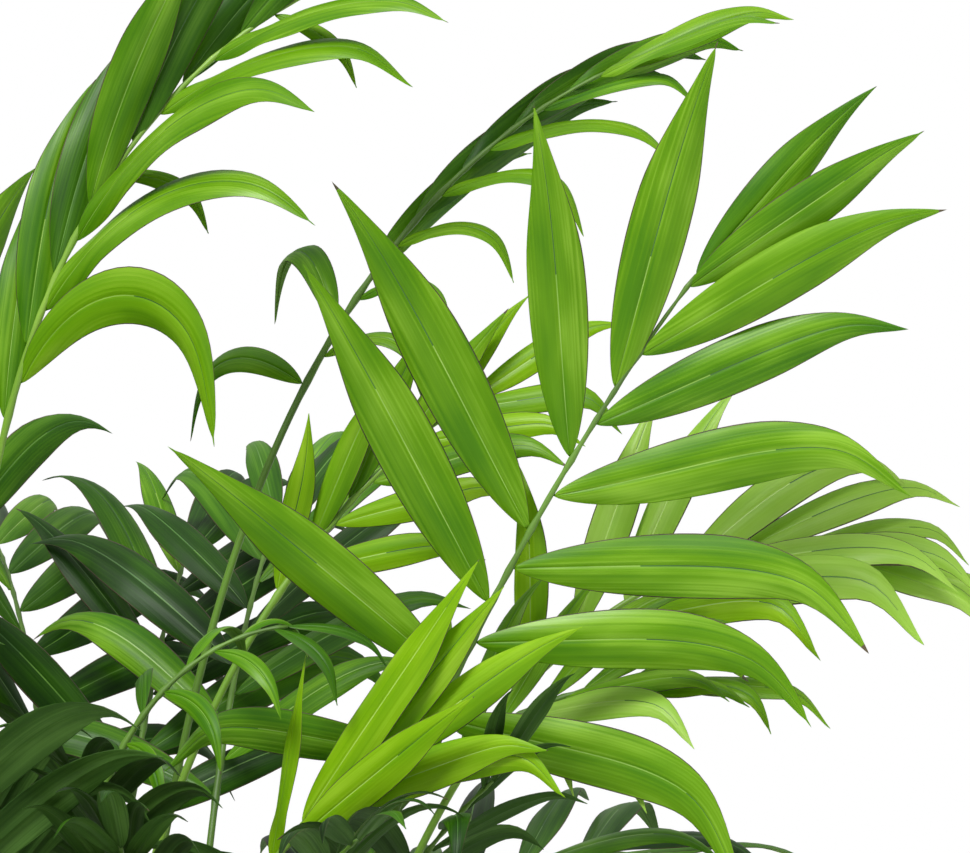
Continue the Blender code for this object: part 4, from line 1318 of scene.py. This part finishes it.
def fired_clay():
    """Unglazed terracotta, thrown and fired: a dry skin with iron specks about a millimetre apart,
    firing marks as clouds of 45 mm, and a faint bloom of lime in patches towards the foot."""
    finish, tree, shader = new_material("terracotta")
    place = add_node(tree, "TexCoord", "Object")
    clouds, grain, patches = (
        add_node(tree, "TexNoise", "Fac", {"Vector": place, "Scale": 1 / (size * MM), "Detail": detail})
        for size, detail in ((45.5, 5), (1.11, 3), (20.8, 6)))
    colour = add_node(tree, "ValToRGB", "Color", {0: clouds},
                      ((0.3, "#9c5234"), (0.52, "#b4663f"), (0.72, "#c27a52")))
    specks = add_node(tree, "ValToRGB", "Color", {0: grain}, ((0.3, "#6e3520"), (0.42, "#ffffff")))
    speckled = add_node(tree, "Mix", "Result", {"Factor": 0.5, "A": colour, "B": specks},
                        data_type="RGBA", blend_type="MULTIPLY")
    height = add_node(tree, "SeparateXYZ", "Z", {"Vector": place})
    low = add_node(tree, "MapRange", "Result", {
        "Value": height, "From Min": 0, "From Max": 50 * MM, "To Min": 0.55, "To Max": 0})
    bloom = add_node(tree, "Math", "Value", {0: low, 1: patches}, operation="MULTIPLY")
    whitened = add_node(tree, "Mix", "Result", {"Factor": bloom, "A": speckled, "B": linear("#d9c3b0")},
                        data_type="RGBA")
    relief = add_node(tree, "Bump", "Normal", {"Strength": 0.5, "Distance": 0.2 * MM, "Height": grain})
    feed(tree, shader, {"Base Color": whitened, "Normal": relief, "Roughness": 0.88})
    return finish


def leaf_materials():
    """The finishes of the blades: eight greens from young to old leaf, the palest partly painted backlight
    and the two darkest partly painted shade, their duller undersides, and what runs along them.

    The midrib is smooth, pale fibre that shows as a light line, and the dark line in the groove beyond
    it is painted shade.
    The margin is dead, papery leaf: brown and matt, and as thin as a pencil line around the green.
    """
    return {
        # Partly the yellow green of young leaf and partly painted backlight
        "pale": leaf_blade("leaf_pale", "#94c244", "#a8d058", "#bcdc74", "#cce868", 0.45),
        "young": leaf_blade("leaf_young", "#72a808", "#8aba10", "#a6d030", "#b8dc28", 0.38),
        "fresh": leaf_blade("leaf_fresh", "#5c9206", "#72a60e", "#8cba2a", "#9ccc20", 0.32),
        "mid": leaf_blade("leaf_half_grown", "#4e8604", "#6a9e0c", "#90c034", "#8cc21a", 0.3),
        "full": leaf_blade("leaf_full_grown", "#3c7402", "#588e08", "#80b22a", "#7cb612", 0.27),
        "rich": leaf_blade("leaf_dark", "#265402", "#3c6e06", "#5a8c1c", "#54920c", 0.24),
        # Partly the dark green of old leaf and partly painted shade
        "deep": leaf_blade("leaf_old", "#163a02", "#224a04", "#38660e", "#346808", 0.2),
        # Old leaf darkened further by painted shade
        "shade": leaf_blade("leaf_oldest", "#0d2602", "#163402", "#284e0a", "#264e06", 0.16),
        "young_underside": leaf_blade(
            "leaf_underside_young", "#80aa38", "#92ba48", "#a8ca62", "#acd040", 0.35, DULL),
        "grown_underside": leaf_blade(
            "leaf_underside", "#567e24", "#689032", "#80a44a", "#7cac30", 0.25, DULL),
        "old_underside": leaf_blade(
            "leaf_underside_old", "#284a10", "#365a1a", "#4c722c", "#426e14", 0.15, DULL),
        "young_midrib": plain_skin("midrib_young", "#98bf4c", "#a8cc5c", 16.7, 0.42),
        "grown_midrib": plain_skin("midrib_grown", "#74a030", "#8cb444", 16.7, 0.42),
        "old_midrib": plain_skin("midrib_old", "#46741c", "#5c8c2c", 16.7, 0.42),
        # A dark strip painted as the shade in the midrib's groove
        "groove": plain_skin("midrib_groove", "#2e5a12", "#3e701c", 16.7, 0.5),
        "margin": plain_skin("leaf_margin_dry", "#3a3a1c", "#54482c", 11.1, 0.6),
    }


def stalk_materials():
    """The stalks' finishes: smooth petioles with a faint satin gleam and long streaks, bright while
    young, and the dry, fibrous skin of a sheath, paler and matt."""
    return [
        plain_skin("petiole_young", "#6c962a", "#88b03e", 18.2, 0.4, 0.3, stretch=0.2),
        plain_skin("petiole_full_grown", "#44661a", "#5e8628", 18.2, 0.5, 0.3, stretch=0.2),
        plain_skin("leaf_sheath", "#7d8f4a", "#a5a566", 14.3, 0.6, 0.5, stretch=0.12),
    ]


def tier_of(frond):
    """The frond's name without the number in its tier."""
    return frond.name if frond.name in PICKED_NAMES else frond.name.rsplit("_", 1)[0]


def group_of(frond):
    """What a frond is joined with: the picked ones in front, the other picked ones, or its tier."""
    if frond.name in FRONT_FRONDS:
        return "frond_front"
    return "frond_back" if frond.name in PICKED_NAMES else tier_of(frond)


def place_piece(piece, slot, *nodes):
    """The piece rides with the plant and stands for its nodes. The slot is not used."""
    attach(piece, "root")
    if nodes:
        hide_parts(*nodes)


def dress_fronds(plans, canes, rng):
    """The blades joined group by group, and every stalk of a group joined with the sheaths."""
    leaf = leaf_materials()
    stalk = stalk_materials()
    numbers = {name: number for number, name in enumerate(leaf)}
    groups = {}
    for plan in plans:
        groups.setdefault(group_of(plan[0]), []).append(plan)
    layers = Counter()
    for group, members in groups.items():
        blades, bars = Joined(), Joined()
        for frond, path, leaflets in members:
            rows = LEAF_FINISHES[tier_of(frond)]
            for leaflet in leaflets:
                kinds = rows[-1] if leaflet.side < 0 else rows[0]
                kind = kinds[rng.integers(len(kinds))]
                draw_blade(blades, leaflet, kind, group == "frond_front", numbers, rng)
            draw_stalk(bars, frond, path, "pale" if frond.name in YOUNG_STALKS else "green")
            draw_sheath(bars, canes[frond.cane], path, layers[frond.cane])
            layers[frond.cane] += 1
        nodes = [frond.name for frond, _, _ in members]
        leaves = blades.to_object(f"{group}_blades", list(leaf.values()))
        stalks = bars.to_object(f"{group}_stalks", stalk)
        place_piece(leaves, "palm_leaf", *nodes)
        place_piece(stalks, "palm_leaf", *nodes)


def dress_canes(canes, rng):
    """The canes: smooth green rind with a low sheen, matt corky rings where leaves have dropped, and a
    waxy young leaf folded into each spear."""
    finishes = [
        plain_skin("cane_skin", "#54702c", "#7c9440", 22.2, 0.45, 0.3, stretch=0.3),
        plain_skin("leaf_scar", "#8a7a4a", "#a5935c", 8.33, 0.75, 0.4),
        leaf_blade("spear_leaf", "#6b9a2c", "#82b338", "#9cc94c", "#a5d63a", 0.3),
    ]
    for cane in canes:
        place_piece(draw_cane(cane, rng, finishes), "cane_green", cane.name)


def dress_pot(rng):
    """The clay pot and what it holds: moist peaty mix, nearly black, with deep grains of 2 to 3 mm, and
    loose crumbs of brown bark and of chalky white perlite, all without shine."""
    mix = plain_skin("potting_mix", "#17100b", "#3a2a1c", 2.38, 0.95, 0.9, 8, 1.2)
    bark = plain_skin("bark_crumb", "#2b1c12", "#5a3f28", 3.33, 0.9)
    perlite = plain_skin("perlite", "#c9c5ba", "#efece4", 2.5, 0.85)
    place_piece(draw_pot(fired_clay()), "pot_clay", "pot")
    place_piece(draw_soil(rng, mix), "potting_mix", "soil")
    place_piece(draw_crumbs(rng, [bark, perlite]), "potting_mix")


def make_camera():
    """A level camera in front of the plant, whose long lens takes in the photograph's frame."""
    data = bpy.data.cameras.new("camera")
    data.sensor_width = SENSOR
    data.lens = SENSOR * CAMERA_DISTANCE / (PHOTO_WIDTH * PIXEL)
    camera = link_object("camera", data)
    x = (PHOTO_WIDTH / 2 - ORIGIN_COLUMN) * PIXEL
    z = (ORIGIN_LINE - PHOTO_HEIGHT / 2) * PIXEL
    camera.location = (x, -CAMERA_DISTANCE, z)
    camera.rotation_euler = (math.pi / 2, 0, 0)
    bpy.context.scene.camera = camera


def make_room():
    """A room that is white to the camera, but lights the plant mostly from above: its strength
    follows the height of the way it comes from."""
    world = bpy.data.worlds.new("white_room")
    world.use_nodes = True
    tree = world.node_tree
    sky = tree.nodes["Background"]
    way = add_node(tree, "TexCoord", "Generated")
    height = add_node(tree, "SeparateXYZ", "Z", {"Vector": way})
    strength = add_node(tree, "MapRange", "Result", {
        "Value": height, "From Min": SKY_FROM, "From Max": 1,
        "To Min": SKY_STRENGTH[0], "To Max": SKY_STRENGTH[1]})
    feed(tree, sky, {"Color": linear("#ffffff"), "Strength": strength})
    backdrop = add_node(tree, "Background", "Background", {"Color": linear("#ffffff"), "Strength": 1})
    seen = add_node(tree, "LightPath", "Is Camera Ray")
    room = add_node(tree, "MixShader", "Shader", {0: seen, 1: sky.outputs["Background"], 2: backdrop})
    feed(tree, tree.nodes["World Output"], {"Surface": room})
    bpy.context.scene.world = world
    bpy.context.scene.view_settings.view_transform = "Standard"


def make_sun():
    """One broad soft light from above the camera's left shoulder."""
    data = bpy.data.lights.new("soft_light", "SUN")
    data.energy = SUN_STRENGTH
    data.angle = math.radians(SUN_SOFTNESS)
    way = SUN_WAY / np.linalg.norm(SUN_WAY)
    light = link_object("soft_light", data)
    light.rotation_euler = (math.acos(-way[2]), 0, math.atan2(way[1], way[0]) - math.pi / 2)


def make_floor():
    """A pale disc under the pot, too low for the close view to show."""
    mesh = bpy.data.meshes.new("floor")
    corners = circle(FLOOR_SIDES) * FLOOR_RADIUS
    mesh.from_pydata(corners.tolist(), [], [list(range(FLOOR_SIDES))])
    mesh.materials.append(plain_skin("pale_floor", "#f2f1ef", "#f5f4f2", 500, 0.8))
    link_object("floor", mesh)


def dress_all():
    """The whole plant in its pot, and then the camera, the light and the floor."""
    canes = [cane_plan(number) for number in range(CANE_COUNT)]
    plans = frond_plans(canes)
    rng = np.random.default_rng(SEED)
    dress_fronds(plans, canes, rng)
    dress_canes(canes, rng)
    dress_pot(rng)
    make_camera()
    make_room()
    make_sun()
    make_floor()
    bpy.context.view_layer.update()


dress_all()
